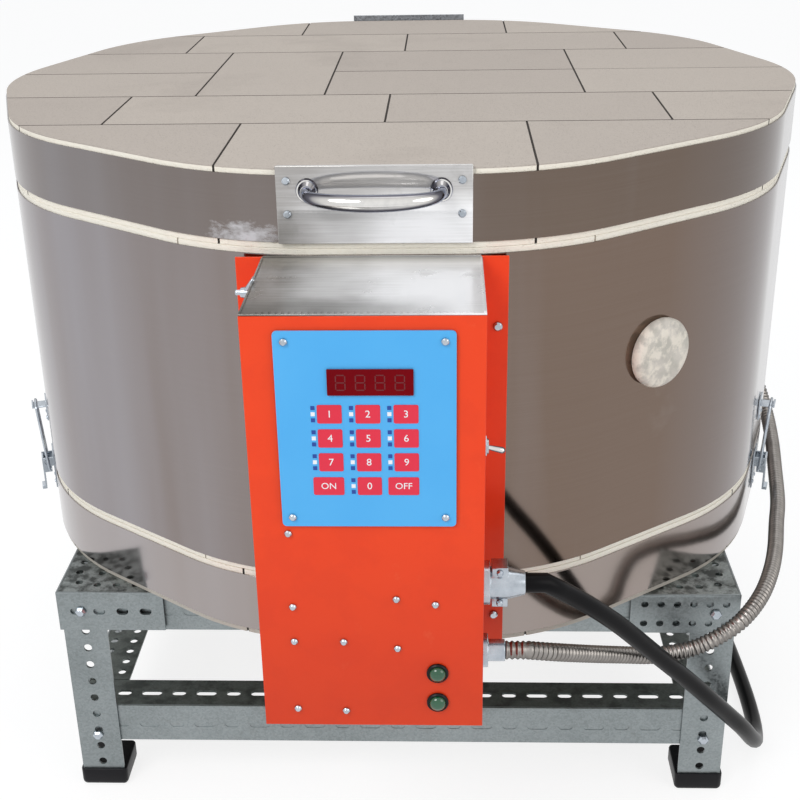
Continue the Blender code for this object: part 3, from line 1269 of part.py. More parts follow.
def least_gap(points):
    """Smallest free distance between turns, measured between points half a turn apart or more."""
    fine = walk(points, [route_length(points) * index / 400 for index in range(400)])
    half_turn = int(400 * math.pi * COIL_RADIUS / route_length(points))
    return min((fine[a] - fine[b]).length for a in range(400)
               for b in range(a + half_turn, 400)) - CORD_RADIUS * 2


def power_plug(place, along):
    """Round moulded plug lying behind the coil, with two blades and a ground pin."""
    profile = [(0, PLUG_NECK + PLUG_LENGTH), (PLUG_RADIUS, PLUG_NECK + PLUG_LENGTH),
               (PLUG_RADIUS, PLUG_NECK + PLUG_LENGTH * 0.2), (PLUG_RADIUS * 0.7, PLUG_NECK),
               (CORD_RADIUS * 1.25, 0), (0, 0)]
    plug = add_object("power_plug", turned_mesh("power_plug", profile, 16), "black_rubber",
                      smooth=True)
    blades = bmesh.new()
    face = PLUG_NECK + PLUG_LENGTH
    for side in (-1, 1):
        x = side * BLADE_SPREAD
        add_box(blades, (x - BLADE_SIZE[1] / 2, -BLADE_SIZE[2] / 2, face - BLADE_SIZE[1]),
                (x + BLADE_SIZE[1] / 2, BLADE_SIZE[2] / 2, face + BLADE_SIZE[0]))
    add_rod(blades, (0, BLADE_SPREAD, face - BLADE_SIZE[1]), (0, BLADE_SPREAD, face + BLADE_SIZE[0]),
            BLADE_SIZE[1] * 1.2, segments=8)
    join(plug, mesh_from(blades, "plug_blades"))
    turn = along.to_track_quat("Z", "Y").to_matrix().to_4x4()
    place_with_tools(plug, Matrix.Translation(place) @ turn)


def recentre():
    """Moves everything so that the origin lies under the middle of the kiln."""
    bpy.context.view_layer.update()
    graph = bpy.context.evaluated_depsgraph_get()
    low = Vector((math.inf, math.inf))
    high = Vector((-math.inf, -math.inf))
    for obj in bpy.data.collections["glass_kiln"].objects:
        if obj.name.startswith("power_cord") or obj.name == "power_plug":
            continue
        solid = obj.evaluated_get(graph)
        for corner in solid.data.vertices:
            place = solid.matrix_world @ corner.co
            low = Vector((min(low.x, place.x), min(low.y, place.y)))
            high = Vector((max(high.x, place.x), max(high.y, place.y)))
    shift = Vector((-(low.x + high.x) / 2, -(low.y + high.y) / 2, 0))
    for obj in bpy.data.objects:
        obj.matrix_world = Matrix.Translation(shift) @ obj.matrix_world
    print("kiln axis lies at %.5f, %.5f" % (shift.x, shift.y))
    return shift


def report_joints(shift):
    """Prints where each moving piece turns or slides, in the finished frame."""
    print("lid hinge at", tuple(round(value, 5) for value in hinge_place() + shift))
    for name, turn in (("left", -LATCH_TURN), ("right", LATCH_TURN)):
        frame = side_frame(turn, FLAT_RADIUS + PIVOT_STANDOFF, LATCH_PIVOT_HEIGHT)
        crank = Vector((-CRANK * math.sin(CRANK_SET), 0, -CRANK * math.cos(CRANK_SET)))
        print("latch", name, "pivot", tuple(round(v, 5) for v in frame.translation + shift),
              "bail", tuple(round(v, 5) for v in frame @ crank + shift),
              "axis", tuple(round(v, 5) for v in frame.to_3x3() @ Vector((0, -1, 0))))
    bat = bpy.data.objects["toggle_bat"].matrix_world.translation
    print("toggle pivot", tuple(round(value, 5) for value in bat))
    print("peephole axis", tuple(round(value, 5) for value in outward(PEEP_TURN)))


def main():
    reset_scene()
    stand()
    floor_section()
    ring_section()
    peephole_plug()
    heating_element()
    thermocouple()
    lid_section()
    handle_plate()
    lid_handle()
    hinge()
    latch("left", -LATCH_TURN)
    latch("right", LATCH_TURN)
    control_box()
    controller()
    relay()
    pilot_lamps()
    toggle_switch()
    cord_end = cord_fitting()
    _, conduit_start = side_fitting("conduit_connector", CONDUIT_HEIGHT, CONDUIT_NUT_RADIUS,
                                    CONDUIT_NUT, CONDUIT_RADIUS, CONDUIT_BARREL, 0,
                                    CONDUIT_RADIUS)
    conduit(conduit_start, terminal_box())
    power_plug(*power_cord(cord_end))
    report_joints(recentre())


main()
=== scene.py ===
# %% [markdown]
# # A round brick kiln for glass
#
# The kiln is a ten-sided ring of soft firebrick, wrapped in thin stainless sheet. It has a brick
# lid on a back hinge, an orange control box and a stand of slotted angle. The solid model is
# loaded first. It fixes every size, so each finer piece below is built to fit over its solid.

# %% Load the solid model
import math

import bmesh
import bpy
from mathutils import Matrix, Vector


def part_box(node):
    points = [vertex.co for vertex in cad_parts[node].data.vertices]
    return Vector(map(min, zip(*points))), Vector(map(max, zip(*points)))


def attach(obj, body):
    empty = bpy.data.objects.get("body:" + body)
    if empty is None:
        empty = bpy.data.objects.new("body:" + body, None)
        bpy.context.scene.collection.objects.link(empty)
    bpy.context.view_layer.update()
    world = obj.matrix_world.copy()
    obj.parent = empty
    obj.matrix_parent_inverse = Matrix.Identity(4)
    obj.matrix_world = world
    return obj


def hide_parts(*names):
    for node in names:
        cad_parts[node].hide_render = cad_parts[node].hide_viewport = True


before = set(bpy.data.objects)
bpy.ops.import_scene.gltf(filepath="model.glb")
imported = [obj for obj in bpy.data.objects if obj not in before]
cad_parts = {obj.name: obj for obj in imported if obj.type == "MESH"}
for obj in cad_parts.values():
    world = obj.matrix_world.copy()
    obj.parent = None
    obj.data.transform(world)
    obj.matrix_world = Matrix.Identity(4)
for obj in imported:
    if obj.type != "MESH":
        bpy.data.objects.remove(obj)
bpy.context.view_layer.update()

# %% [markdown]
# Most of the kiln is set out from the upright axis of the drum. The model's origin lies under the
# middle of the whole object instead, so one helper moves a drum measurement into model space.

# %% Drum axis and main levels
ring_low, ring_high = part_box("ring_brick")
AXIS = Vector(((ring_low.x + ring_high.x) / 2, (ring_low.y + ring_high.y) / 2, 0))
LID_LOW, LID_HIGH = (corner.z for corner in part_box("lid_slab"))
FLOOR_LOW, FLOOR_HIGH = (corner.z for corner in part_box("floor_slab"))
FLAT = 0.3580          # axis to a flat side of the sheet
CORNER = 0.2050        # radius of the sheet's soft corners
SHEET = 0.0010         # thickness of the sheet
GAP = 0.0003           # between the sheet and what lies against it
BRICK = FLAT - SHEET - GAP
INCH = 0.0254
UP, FRONT, BACK = Vector((0, 0, 1)), Vector((0, -1, 0)), Vector((0, 1, 0))


def at(x, y, z):
    """A point given from the drum's axis, in model space."""
    return Vector((x, y, z)) + AXIS


def outward(turn):
    """Level unit vector away from the axis, at a turn from the front towards the right."""
    return Vector((math.sin(turn), -math.cos(turn), 0))


def sideways(turn):
    """Level unit vector along the drum's side at that turn."""
    return Vector((math.cos(turn), math.sin(turn), 0))


def middle(solid):
    low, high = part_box(solid)
    return (low + high) / 2


print("axis at", tuple(round(v, 4) for v in AXIS), "lid top", round(LID_HIGH, 4))

# %% [markdown]
# ## Node helpers
#
# Materials and Geometry Nodes are both trees of nodes. A Wire stands for one output of a node.
# Sums and products of wires add Math nodes to the tree, so each effect below reads as a formula.


# %% Wires and nodes
class Wire:
    """One output in a node tree. Arithmetic on it adds Math nodes to the same tree."""

    def __init__(self, socket):
        self.socket = socket
        self.tree = socket.id_data

    def __add__(self, other):
        return maths("ADD", self, other)

    def __sub__(self, other):
        return maths("SUBTRACT", self, other)

    def __rsub__(self, other):
        return maths("SUBTRACT", other, self)

    def __mul__(self, other):
        return maths("MULTIPLY", self, other)

    def __truediv__(self, other):
        return maths("DIVIDE", self, other)

    __radd__ = __add__
    __rmul__ = __mul__


def feed(socket, value):
    """Links a wire to an input, or writes a plain value into it."""
    if isinstance(value, Wire):
        value.tree.links.new(value.socket, socket)
    else:
        socket.default_value = value


def put(tree, kind, inputs=(), output=0, **settings):
    """Adds a node, sets its options, feeds its inputs and gives back one output."""
    node = tree.nodes.new(kind)
    for key, value in settings.items():
        setattr(node, key, value)
    for key, value in (inputs if isinstance(inputs, dict) else dict(enumerate(inputs))).items():
        feed(node.inputs[key], value)
    return Wire(node.outputs[output]) if node.outputs else None


def wires(sockets):
    return {socket.name: Wire(socket) for socket in sockets}


def tree_of(*values):
    return next(value.tree for value in values if isinstance(value, Wire))


def maths(operation, *values):
    return put(tree_of(*values), "ShaderNodeMath", values, operation=operation)


# %% Colours and patterns
def linear(colour):
    """A colour picked as 0 to 255 screen values, as the shader wants it."""
    shares = [value / 255 for value in colour]
    return (*(s / 12.92 if s < 0.04045 else ((s + 0.055) / 1.055) ** 2.4 for s in shares), 1.0)


def blend(share, first, second, kind="MIX"):
    """A mix of two colours. Each is a wire or three screen values."""
    first, second = (c if isinstance(c, Wire) else linear(c) for c in (first, second))
    return put(tree_of(share, first, second), "ShaderNodeMix", {0: share, 6: first, 7: second}, 2,
               data_type="RGBA", blend_type=kind)


def ramp(value, stops):
    """A colour read from (place, colour) stops."""
    node = value.tree.nodes.new("ShaderNodeValToRGB")
    elements = node.color_ramp.elements
    for index, (place, colour) in enumerate(stops):
        element = elements[index] if index < 2 else elements.new(place)
        element.position = place
        element.color = linear(colour)
    feed(node.inputs[0], value)
    return Wire(node.outputs[0])


def span(value, low, high, to_low=0.0, to_high=1.0):
    return put(value.tree, "ShaderNodeMapRange", (value, low, high, to_low, to_high))


def stretched(vector, scale):
    return put(vector.tree, "ShaderNodeMapping", {"Vector": vector, "Scale": scale})


def noise(vector, scale, detail=3.0, roughness=0.5):
    return put(vector.tree, "ShaderNodeTexNoise", {"Vector": vector, "Scale": scale,
                                                   "Detail": detail, "Roughness": roughness}, "Fac")


def cells(vector, scale, output):
    return put(vector.tree, "ShaderNodeTexVoronoi", {"Vector": vector, "Scale": scale}, output)


print("helpers ready")

# %% [markdown]
# ## Camera, floor and light
#
# The camera stands in front of the kiln and looks down on it by 24 degrees. Its pose came from
# matching the brick joints of the lid, so the render can be laid over the photograph.

# %% Camera
VIEW_TURN, VIEW_DROP, VIEW_ROLL = math.radians(2.26), math.radians(24.10), math.radians(-1.00)
FOCAL_PIXELS, IMAGE_PIXELS, SENSOR = 1309.4, 800, 36
level_ahead = outward(math.pi + VIEW_TURN)
ahead = level_ahead * math.cos(VIEW_DROP) - UP * math.sin(VIEW_DROP)
down = -level_ahead * math.sin(VIEW_DROP) - UP * math.cos(VIEW_DROP)
level_right = sideways(VIEW_TURN)
image_right = level_right * math.cos(VIEW_ROLL) - down * math.sin(VIEW_ROLL)
image_down = level_right * math.sin(VIEW_ROLL) + down * math.cos(VIEW_ROLL)
scene = bpy.context.scene
camera = bpy.data.objects.new("camera", bpy.data.cameras.new("camera"))
scene.collection.objects.link(camera)
camera.matrix_world = Matrix.Translation(at(0.0452, -1.2515, 0.8278)) @ Matrix(
    (image_right, -image_down, -ahead)).transposed().to_4x4()
camera.data.sensor_width = SENSOR
camera.data.lens = FOCAL_PIXELS * SENSOR / IMAGE_PIXELS
scene.camera = camera
print("lens %.1f mm" % camera.data.lens)

# %% [markdown]
# A pale floor and a white world give the plain studio. Camera, glossy and transmission rays see
# white, and the light that falls on the kiln is set apart from that, so colours stay as written.

# %% World and lamps
scene.view_settings.view_transform = "Standard"
scene.world = bpy.data.worlds.new("studio")
scene.world.use_nodes = True
sky = scene.world.node_tree
sky.nodes.clear()
rays = wires(sky.nodes.new("ShaderNodeLightPath").outputs)
seen = maths("MAXIMUM", rays["Is Camera Ray"],
             maths("MAXIMUM", rays["Is Glossy Ray"], rays["Is Transmission Ray"]))
lit = put(sky, "ShaderNodeBackground", ((0.93, 0.96, 1.0, 1), 0.55))
shown = put(sky, "ShaderNodeBackground", ((1, 1, 1, 1), 1.0))
put(sky, "ShaderNodeOutputWorld", [put(sky, "ShaderNodeMixShader", (seen, lit, shown))])


def lamp(name, place, size, power, colour=(1, 1, 1)):
    """A round lamp that is turned to the middle of the kiln."""
    light = bpy.data.lights.new(name, "AREA")
    light.shape = "DISK"
    light.size = size
    light.energy = power
    light.color = colour
    obj = bpy.data.objects.new(name, light)
    scene.collection.objects.link(obj)
    obj.location = place
    obj.rotation_euler = (at(0, 0, 0.35) - place).to_track_quat("-Z", "Y").to_euler()


lamp("key_light", at(-1.1, -1.9, 2.1), 1.3, 27)
lamp("fill_light", at(1.9, -1.5, 1.3), 1.6, 11, (1, 0.97, 0.93))
lamp("top_light", at(0.2, 0.6, 2.4), 1.8, 9)
print("studio ready")

# %% [markdown]
# ## Shared effects
#
# Several finishes share an effect: pores in fired clay, the long grain of rolled sheet, the
# frosty crystals of zinc, and grey handling marks. Each is one node group with named inputs, so
# its look is tuned once and every material that wears it sets its own scale.


# %% Shared effect groups
def effect(name, build, **starts):
    """A node group that makes masks and values from a vector and named numbers."""
    tree = bpy.data.node_groups.new(name, "ShaderNodeTree")
    tree.interface.new_socket("Vector", in_out="INPUT", socket_type="NodeSocketVector")
    for label, start in starts.items():
        socket = tree.interface.new_socket(label, in_out="INPUT", socket_type="NodeSocketFloat")
        socket.default_value = start
    given = wires(tree.nodes.new("NodeGroupInput").outputs)
    made = build(given["Vector"], *(given[label] for label in starts))
    for label in made:
        tree.interface.new_socket(label, in_out="OUTPUT", socket_type="NodeSocketFloat")
    results = tree.nodes.new("NodeGroupOutput").inputs
    for label, wire in made.items():
        feed(results[label], wire)
    return tree


def pore_values(where, scale):
    grain = noise(where, scale, 4.0, 0.65)
    pits = span(cells(where, scale * 2.2, "Distance"), 0.30, 0.12)
    return {"Tone": grain * 0.55 + noise(where, 9.0) * 0.45, "Pits": pits, "Height": grain - pits}


def grain_values(where, across, along):
    stretch = put(where.tree, "ShaderNodeCombineXYZ", (along, along, across))
    return {"Tone": noise(stretched(where, stretch), 1.0, 2.0),
            "Streak": noise(stretched(where, (14.0, 14.0, 1.1)), 1.0)}


def spangle_values(where, scale):
    crystal = put(where.tree, "ShaderNodeSeparateColor", [cells(where, scale, "Color")])
    return {"Tone": crystal * 0.7 + noise(where, scale * 5.0, 2.0) * 0.3,
            "Frost": noise(where, 16.0, 4.0, 0.6)}


def mark_values(where, scale, amount):
    edge = 0.72 - amount * 0.22
    return {"Mask": span(noise(where, scale, 5.0, 0.62), edge, edge + 0.14)}


pores = effect("brick_pores", pore_values, Scale=260.0)
rolled = effect("rolled_grain", grain_values, Across=900.0, Along=6.0)
spangle = effect("zinc_spangle", spangle_values, Scale=110.0)
marks = effect("handling_marks", mark_values, Scale=12.0, Amount=0.5)
print("effect groups:", [group.name for group in bpy.data.node_groups])


# %% Starting a material
class Finish:
    """A material in the making: its shader and the place that its patterns follow."""

    def __init__(self, name, roughness, metallic=0.0):
        self.material = bpy.data.materials.new(name)
        self.material.use_nodes = True
        self.tree = self.material.node_tree
        self.shader = self.tree.nodes["Principled BSDF"]
        self.where = put(self.tree, "ShaderNodeTexCoord", output="Object")
        self.x, self.y, self.z = (put(self.tree, "ShaderNodeSeparateXYZ", [self.where], axis)
                                  for axis in range(3))
        self.set(Roughness=roughness, Metallic=metallic)

    def set(self, **values):
        """Feeds inputs of the shader. Their names have _ for each blank."""
        for name, value in values.items():
            feed(self.shader.inputs[name.replace("_", " ")], value)

    def paint(self, tone):
        """Sets the base colour, and keeps it for the next layer."""
        self.tone = tone
        self.set(Base_Color=tone)

    def stain(self, share, colour):
        """Lays another colour over the base colour, by a share."""
        self.paint(blend(share, self.tone, colour))

    def worn(self, group, **sizes):
        """Adds a shared effect and gives back its outputs."""
        node = self.tree.nodes.new("ShaderNodeGroup")
        node.node_tree = group
        feed(node.inputs["Vector"], self.where)
        for name, value in sizes.items():
            node.inputs[name].default_value = value
        return wires(node.outputs)

    def bump(self, height, depth, strength=0.6):
        self.set(Normal=put(self.tree, "ShaderNodeBump", {"Strength": strength, "Distance": depth,
                                                          "Height": height}))


# %% [markdown]
# ## Finishes
#
# The lid's brick faces have gone grey-beige from the kiln room, but the freshly cut edges that
# show between the sheets stay cream. Height above the joint tells the two apart.

# %% Firebrick
NO_LEVEL = 9.0         # far above the kiln, for brick that has not weathered


def firebrick(name, face, edge, level=NO_LEVEL):
    """Brick whose faces beyond a level are weathered, and whose sides stay pale."""
    finish = Finish(name, 0.92)
    clay = finish.worn(pores, Scale=260.0)
    soot = finish.worn(marks, Scale=7.0, Amount=0.75)
    tint = put(finish.tree, "ShaderNodeAttribute", output="Fac", attribute_name="brick_tint")
    old = blend(clay["Tone"] * 0.30 + tint * 0.22, face, (216, 206, 193))
    old = blend(soot["Mask"] * 0.28, old, (160, 150, 142))
    # Painted shade in the pores: the pits are darkened.
    old = blend(clay["Pits"] * 0.35, old, (126, 118, 110))
    side = blend(clay["Tone"], edge, (252, 249, 238))
    finish.paint(blend(span(finish.z, level - 0.0004, level), side, old))
    finish.bump(clay["Height"], 0.0006)
    return finish


lid_brick = firebrick("lid_firebrick", (174, 164, 156), (240, 230, 212), LID_HIGH - 0.0006)
ring_brick_finish = firebrick("ring_firebrick", (226, 216, 200), (238, 230, 214))
floor_brick = firebrick("floor_firebrick", (222, 212, 196), (238, 230, 214))
cement = Finish("joint_cement", 0.95)
cement.paint(blend(noise(cement.where, 300.0), (38, 34, 31), (72, 65, 59)))
print("brick finishes ready")

# %% [markdown]
# Stainless sheet mirrors the room, and the mirror waves a little because thin sheet never lies
# flat. Its colour also holds a painted reflection of a brown room: a warm brown tint that is
# stronger towards the right of the front, a paler blue-grey band at the far right, a darker,
# browner lid band and a paler floor band. A very fine rolled grain breaks up the gloss, and hands
# have scuffed the lid beside its handle.

# %% Sheet metals
SCUFF = Vector((AXIS.x - 0.100, 0, LID_LOW + 0.008))
SCUFF_WIDE, SCUFF_TALL = 0.032, 0.013


def stainless(name):
    finish = Finish(name, 0.14, 1.0)
    grain = finish.worn(rolled, Across=2600.0, Along=9.0)
    smudge = finish.worn(marks, Scale=11.0, Amount=0.30)["Mask"]
    # Painted reflection: a warm brown tint that grows towards the right, broken up by the grain's
    # streaks.
    reflection_and_grain = span(finish.x, -0.42, 0.12) + (grain["Streak"] - 0.5) * 0.9
    across = (finish.x - SCUFF.x) / SCUFF_WIDE
    rising = (finish.z - SCUFF.z) / SCUFF_TALL
    ragged = noise(stretched(finish.where, (90.0, 90.0, 160.0)), 1.0, 4.0, 0.7)
    scuff = span(across * across + rising * rising + ragged * 2.6, 2.1, 1.2)
    scuff = scuff * maths("LESS_THAN", finish.y, AXIS.y)
    finish.paint(ramp(reflection_and_grain, ((0.05, (154, 151, 155)), (0.95, (116, 99, 88)))))
    # The first three layers are painted reflection too: a pale blue-grey band at the right, a
    # darker lid band and a paler floor band. Grain, smudges and scuffs follow.
    for share, colour in (
            (span(finish.x, 0.20, 0.33, 0.0, 0.8), (136, 135, 139)),
            (span(finish.z, LID_LOW - 0.002, LID_LOW + 0.004, 0.0, 0.36), (92, 84, 76)),
            (span(finish.z, FLOOR_HIGH + 0.002, FLOOR_HIGH - 0.004, 0.0, 0.40), (186, 179, 176)),
            (grain["Tone"] * 0.07, (196, 190, 186)),
            (smudge * 0.10, (188, 184, 180)),
            (scuff * 0.75, (214, 214, 218))):
        finish.stain(share, colour)
    finish.set(Roughness=0.10 + grain["Tone"] * 0.06 + scuff * 0.45 + smudge * 0.16)
    finish.bump(grain["Streak"], 0.0004, 0.35)
    return finish


def galvanised(name, dark, pale, scale=640.0, roughness=0.5):
    finish = Finish(name, roughness, 1.0)
    zinc = finish.worn(spangle, Scale=scale)
    dirt = finish.worn(marks, Scale=26.0, Amount=0.6)["Mask"]
    finish.paint(blend(span(zinc["Tone"] * 0.42 + zinc["Frost"] * 0.58, 0.22, 0.78), dark, pale))
    finish.stain(dirt * 0.35, (104, 104, 100))
    finish.set(Roughness=roughness - 0.12 + zinc["Tone"] * 0.24)
    finish.bump(zinc["Tone"], 0.00008, 0.3)
    return finish


def plated(name, dark, pale, roughness):
    """Small turned or pressed parts: chrome and bright zinc."""
    finish = Finish(name, roughness, 1.0)
    haze = noise(finish.where, 120.0)
    finish.paint(blend(haze, dark, pale))
    finish.set(Roughness=roughness * 0.7 + haze * (roughness * 0.6))
    finish.bump(haze, 0.00004, 0.2)
    return finish


jacket_metal = stainless("stainless_sheet")
stand_zinc = galvanised("stand_galvanised", (126, 133, 134), (160, 167, 169), roughness=0.42)
# A darker copy of the stand's zinc: painted shade for the flat flanges.
stand_shaded = galvanised("stand_shaded_zinc", (100, 106, 104), (138, 145, 142))
gusset_zinc = galvanised("gusset_zinc", (132, 138, 137), (178, 185, 184))
plate_zinc = galvanised("plate_galvanised", (126, 131, 138), (164, 169, 176), 560.0, 0.34)
bright_zinc = plated("bright_zinc", (150, 158, 168), (206, 213, 220), 0.24)
chrome = plated("handle_chrome", (206, 208, 212), (244, 245, 247), 0.07)
conduit_zinc = plated("conduit_zinc", (130, 126, 123), (180, 176, 172), 0.34)
element_metal = plated("element_metal", (92, 84, 78), (132, 122, 112), 0.55)

# %% [markdown]
# The box's top and the handle's plate are bare sheet, brushed sideways. Each is dull at its left
# and catches the window at its right, so the tone follows the place along it. The bow and the
# conduit are curved and bright, and turn dark where they face away, which Layer Weight gives.


# %% Brushed sheet and curved bright metal
def brushed(name, left, right, dark, pale, gloss, metallic, high=None, low=None):
    """Bare sheet with a long sideways grain, dull at its left and bright at its right."""
    finish = Finish(name, gloss, metallic)
    fibres = noise(stretched(finish.where, (14.0, 14.0, 900.0)), 1.0)
    lengthways = noise(stretched(finish.where, (22.0, 700.0, 700.0)), 1.0)
    smudge = finish.worn(marks, Scale=24.0, Amount=0.7)["Mask"]
    share = span(finish.x, left, right) + (noise(finish.where, 21.0, 2.0) - 0.5) * 0.9
    if high is not None:
        share = share * span(finish.z, high, low, 0.25, 1)
    finish.paint(blend(share + (lengthways - 0.5) * 0.5, dark, pale))
    finish.stain(smudge * 0.30, (116, 112, 106))
    finish.set(Roughness=gloss + smudge * 0.2)
    finish.bump(fibres + lengthways, 0.00003, 0.25)
    return finish


def streaked(finish, *stops):
    """Bands along a bright curved metal: dark where it turns away, as a lit room looks in it."""
    turning = put(finish.tree, "ShaderNodeLayerWeight", output="Facing")
    finish.paint(blend(1.0, finish.tone, ramp(turning, stops), "MULTIPLY"))


def darker_edges(finish, front_y, back_y, right_x):
    """Shade on a level sheet: along its front edge up to a place, and along its back edge."""
    depth = finish.y + (noise(finish.where, 26.0) - 0.5) * 0.030
    front_edge = (span(depth, front_y + 0.034, front_y + 0.012)
                  * span(finish.x, right_x + 0.020, right_x - 0.030))
    finish.stain(front_edge * 0.55, (92, 92, 88))
    finish.stain(span(finish.y, back_y - 0.016, back_y - 0.003) * 0.55, (104, 100, 94))


box_sheet = brushed("box_top_sheet", AXIS.x - 0.080, AXIS.x + 0.004, (130, 126, 121),
                    (243, 243, 244), 0.22, 0.3)
handle_sheet = brushed("handle_plate_sheet", AXIS.x - 0.080, AXIS.x + 0.010, (172, 169, 166),
                       (254, 254, 255), 0.05, 0.50, LID_HIGH - 0.012, LID_HIGH - 0.030)
darker_edges(box_sheet, *(corner.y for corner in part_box("box_top")), AXIS.x + 0.035)
streaked(chrome, (0.0, (255, 252, 246)), (0.16, (236, 232, 226)), (0.34, (110, 108, 116)),
         (0.52, (44, 42, 50)), (0.66, (188, 194, 214)), (1.0, (120, 118, 122)))
streaked(conduit_zinc, (0.0, (250, 250, 250)), (0.45, (206, 204, 202)), (0.8, (92, 88, 84)))
print("metal finishes ready")

# %% [markdown]
# The box is orange enamel with a faint orange-peel skin and pale scuffs. The other finishes are
# plastics and rubber: each gets a little tone change and a surface, because a perfectly even
# colour always looks like a drawing.


# %% Paint, plastic and rubber
def coated(name, base, pale, roughness, skin_scale, skin_depth, wear=0.0, wear_colour=None,
           coat=0.0, gloss=0.5):
    finish = Finish(name, roughness)
    cloud = noise(finish.where, 18.0, 4.0)
    finish.paint(blend(cloud * 0.7, base, pale))
    if wear:
        scuff = finish.worn(marks, Scale=34.0, Amount=wear)["Mask"]
        finish.stain(scuff * 0.35, wear_colour)
    finish.set(Roughness=roughness - 0.06 + cloud * 0.14, Coat_Weight=coat,
               Specular_IOR_Level=gloss)
    finish.bump(noise(finish.where, skin_scale, 2.0), skin_depth, 0.4)
    return finish


orange = coated("orange_enamel", (240, 62, 14), (246, 76, 24), 0.44, 420.0, 0.00012, 0.25,
                (250, 122, 80), coat=0.08, gloss=0.3)
blue_film = coated("blue_panel_film", (70, 172, 238), (92, 188, 246), 0.38, 700.0, 0.00003)
key_red = coated("key_red", (224, 26, 58), (236, 48, 76), 0.35, 600.0, 0.00003)
key_print = coated("white_print", (238, 240, 244), (250, 250, 252), 0.5, 500.0, 0.00002)
mark_blue = coated("mark_blue", (20, 62, 150), (34, 80, 170), 0.4, 600.0, 0.00002)
window_red = coated("display_red", (104, 2, 12), (140, 8, 20), 0.22, 60.0, 0.00001, gloss=0.05)
lens_green = coated("lens_green", (0, 70, 40), (6, 104, 62), 0.12, 90.0, 0.00003, coat=0.7)
black_rubber = coated("black_rubber", (6, 6, 8), (18, 17, 19), 0.30, 500.0, 0.00006, 0.3,
                      (44, 42, 41), gloss=0.10)
black_plastic = coated("black_plastic", (10, 9, 14), (22, 21, 27), 0.38, 380.0, 0.00008, 0.35,
                       (60, 57, 58), gloss=0.22)
ceramic = coated("plug_ceramic", (190, 184, 175), (236, 230, 220), 0.85, 120.0, 0.0010, 0.9,
                 (142, 138, 132))
board_green = coated("board_green", (20, 96, 56), (34, 120, 70), 0.4, 300.0, 0.00005)

# %% [markdown]
# Some finishes get one more layer. The plug is stained in patches from the heat behind it, the
# painted shade of the stand's level flanges gets darker patches, the gusset tops get dark patches
# of painted shade, the orange box gets painted shade towards its foot, and the floor slab's lowest
# edge gets a grey band of painted shade.

# %% Stains and painted shade
for finish, scale, colour, most in ((ceramic, 42.0, (178, 176, 165), 0.55),
                                    (ceramic, 95.0, (244, 236, 222), 0.7),
                                    (orange, 30.0, (226, 58, 18), 0.25),
                                    # darker patches on the painted shade of the flat flanges
                                    (stand_shaded, 55.0, (62, 67, 65), 0.5),
                                    # painted shade: big dark patches on the gusset tops under the
                                    # kiln
                                    (gusset_zinc, 75.0, (44, 48, 46), 0.75)):
    finish.stain(span(noise(finish.where, scale, 5.0, 0.62), 0.46, 0.60, 0.0, most), colour)
# Painted shade: the orange box darkens towards its foot.
orange.stain(span(orange.z, 0.40, 0.24, 0.0, 0.34), (150, 38, 12))
# Painted shade: a grey band along the floor slab's lowest edge.
floor_brick.stain(span(floor_brick.z, FLOOR_LOW + 0.008, FLOOR_LOW + 0.004, 0.0, 0.7),
                  (150, 142, 134))
print("materials:", len(bpy.data.materials))

# %% [markdown]
# ## Making and placing pieces
#
# Every finished piece is one plain mesh whose object stays at the origin, so patterns on Object
# coordinates never slide. These helpers turn a working mesh into such a piece, and give it to
# the body that carries it.


# %% Piece helpers
def plain_mesh(bm):
    mesh = bpy.data.meshes.new("working")
    bm.to_mesh(mesh)
    bm.free()
    return mesh


def closed(shape):
    """A working mesh with its faces turned outwards, as a plain mesh. A plain one stays."""
    if isinstance(shape, bpy.types.Mesh):
        return shape
    bmesh.ops.recalc_face_normals(shape, faces=shape.faces)
    return plain_mesh(shape)


def shade(mesh, angle):
    mesh.shade_smooth()
    mesh.set_sharp_from_angle(angle=math.radians(angle))


def piece(name, shape, finishes, body="kiln", stands_for=(), smooth=None):
    """Places a mesh with its finishes on a body, for the solids that it stands for."""
    mesh = closed(shape)
    mesh.name = name
    obj = bpy.data.objects.new(name, mesh)
    scene.collection.objects.link(obj)
    finishes = finishes if isinstance(finishes, list) else [finishes]
    parts = [min(polygon.material_index, len(finishes) - 1) for polygon in mesh.polygons]
    mesh.materials.clear()
    for finish in finishes:
        mesh.materials.append(finish.material)
    mesh.polygons.foreach_set("material_index", parts)
    if smooth is not None:
        shade(mesh, smooth)
    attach(obj, body)
    if stands_for:
        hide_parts(*stands_for)
    print("%-24s %6d faces on %s" % (name, len(mesh.polygons), body))
    return obj


def evaluated(obj):
    """The finished mesh of a helper object, which is then removed."""
    bpy.context.view_layer.update()
    graph = bpy.context.evaluated_depsgraph_get()
    mesh = bpy.data.meshes.new_from_object(obj.evaluated_get(graph), depsgraph=graph)
    mesh.transform(obj.matrix_world)
    bpy.data.objects.remove(obj, do_unlink=True)
    return mesh


def carved(shape, cutter):
    """A mesh with a cutter's mesh taken out of it, applied at once."""
    blank, tool = (bpy.data.objects.new("helper", closed(data)) for data in (shape, cutter))
    scene.collection.objects.link(blank)
    scene.collection.objects.link(tool)
    change = blank.modifiers.new("cut", "BOOLEAN")
    change.solver = "EXACT"
    change.object = tool
    result = evaluated(blank)
    bpy.data.objects.remove(tool, do_unlink=True)
    return result


def joined(*shapes):
    """Several meshes as one."""
    bm = bmesh.new()
    for shape in shapes:
        bm.from_mesh(closed(shape))
    return plain_mesh(bm)


def second_finish(shape):
    """Gives every face the second finish of its piece."""
    mesh = closed(shape)
    mesh.polygons.foreach_set("material_index", [1] * len(mesh.polygons))
    return mesh


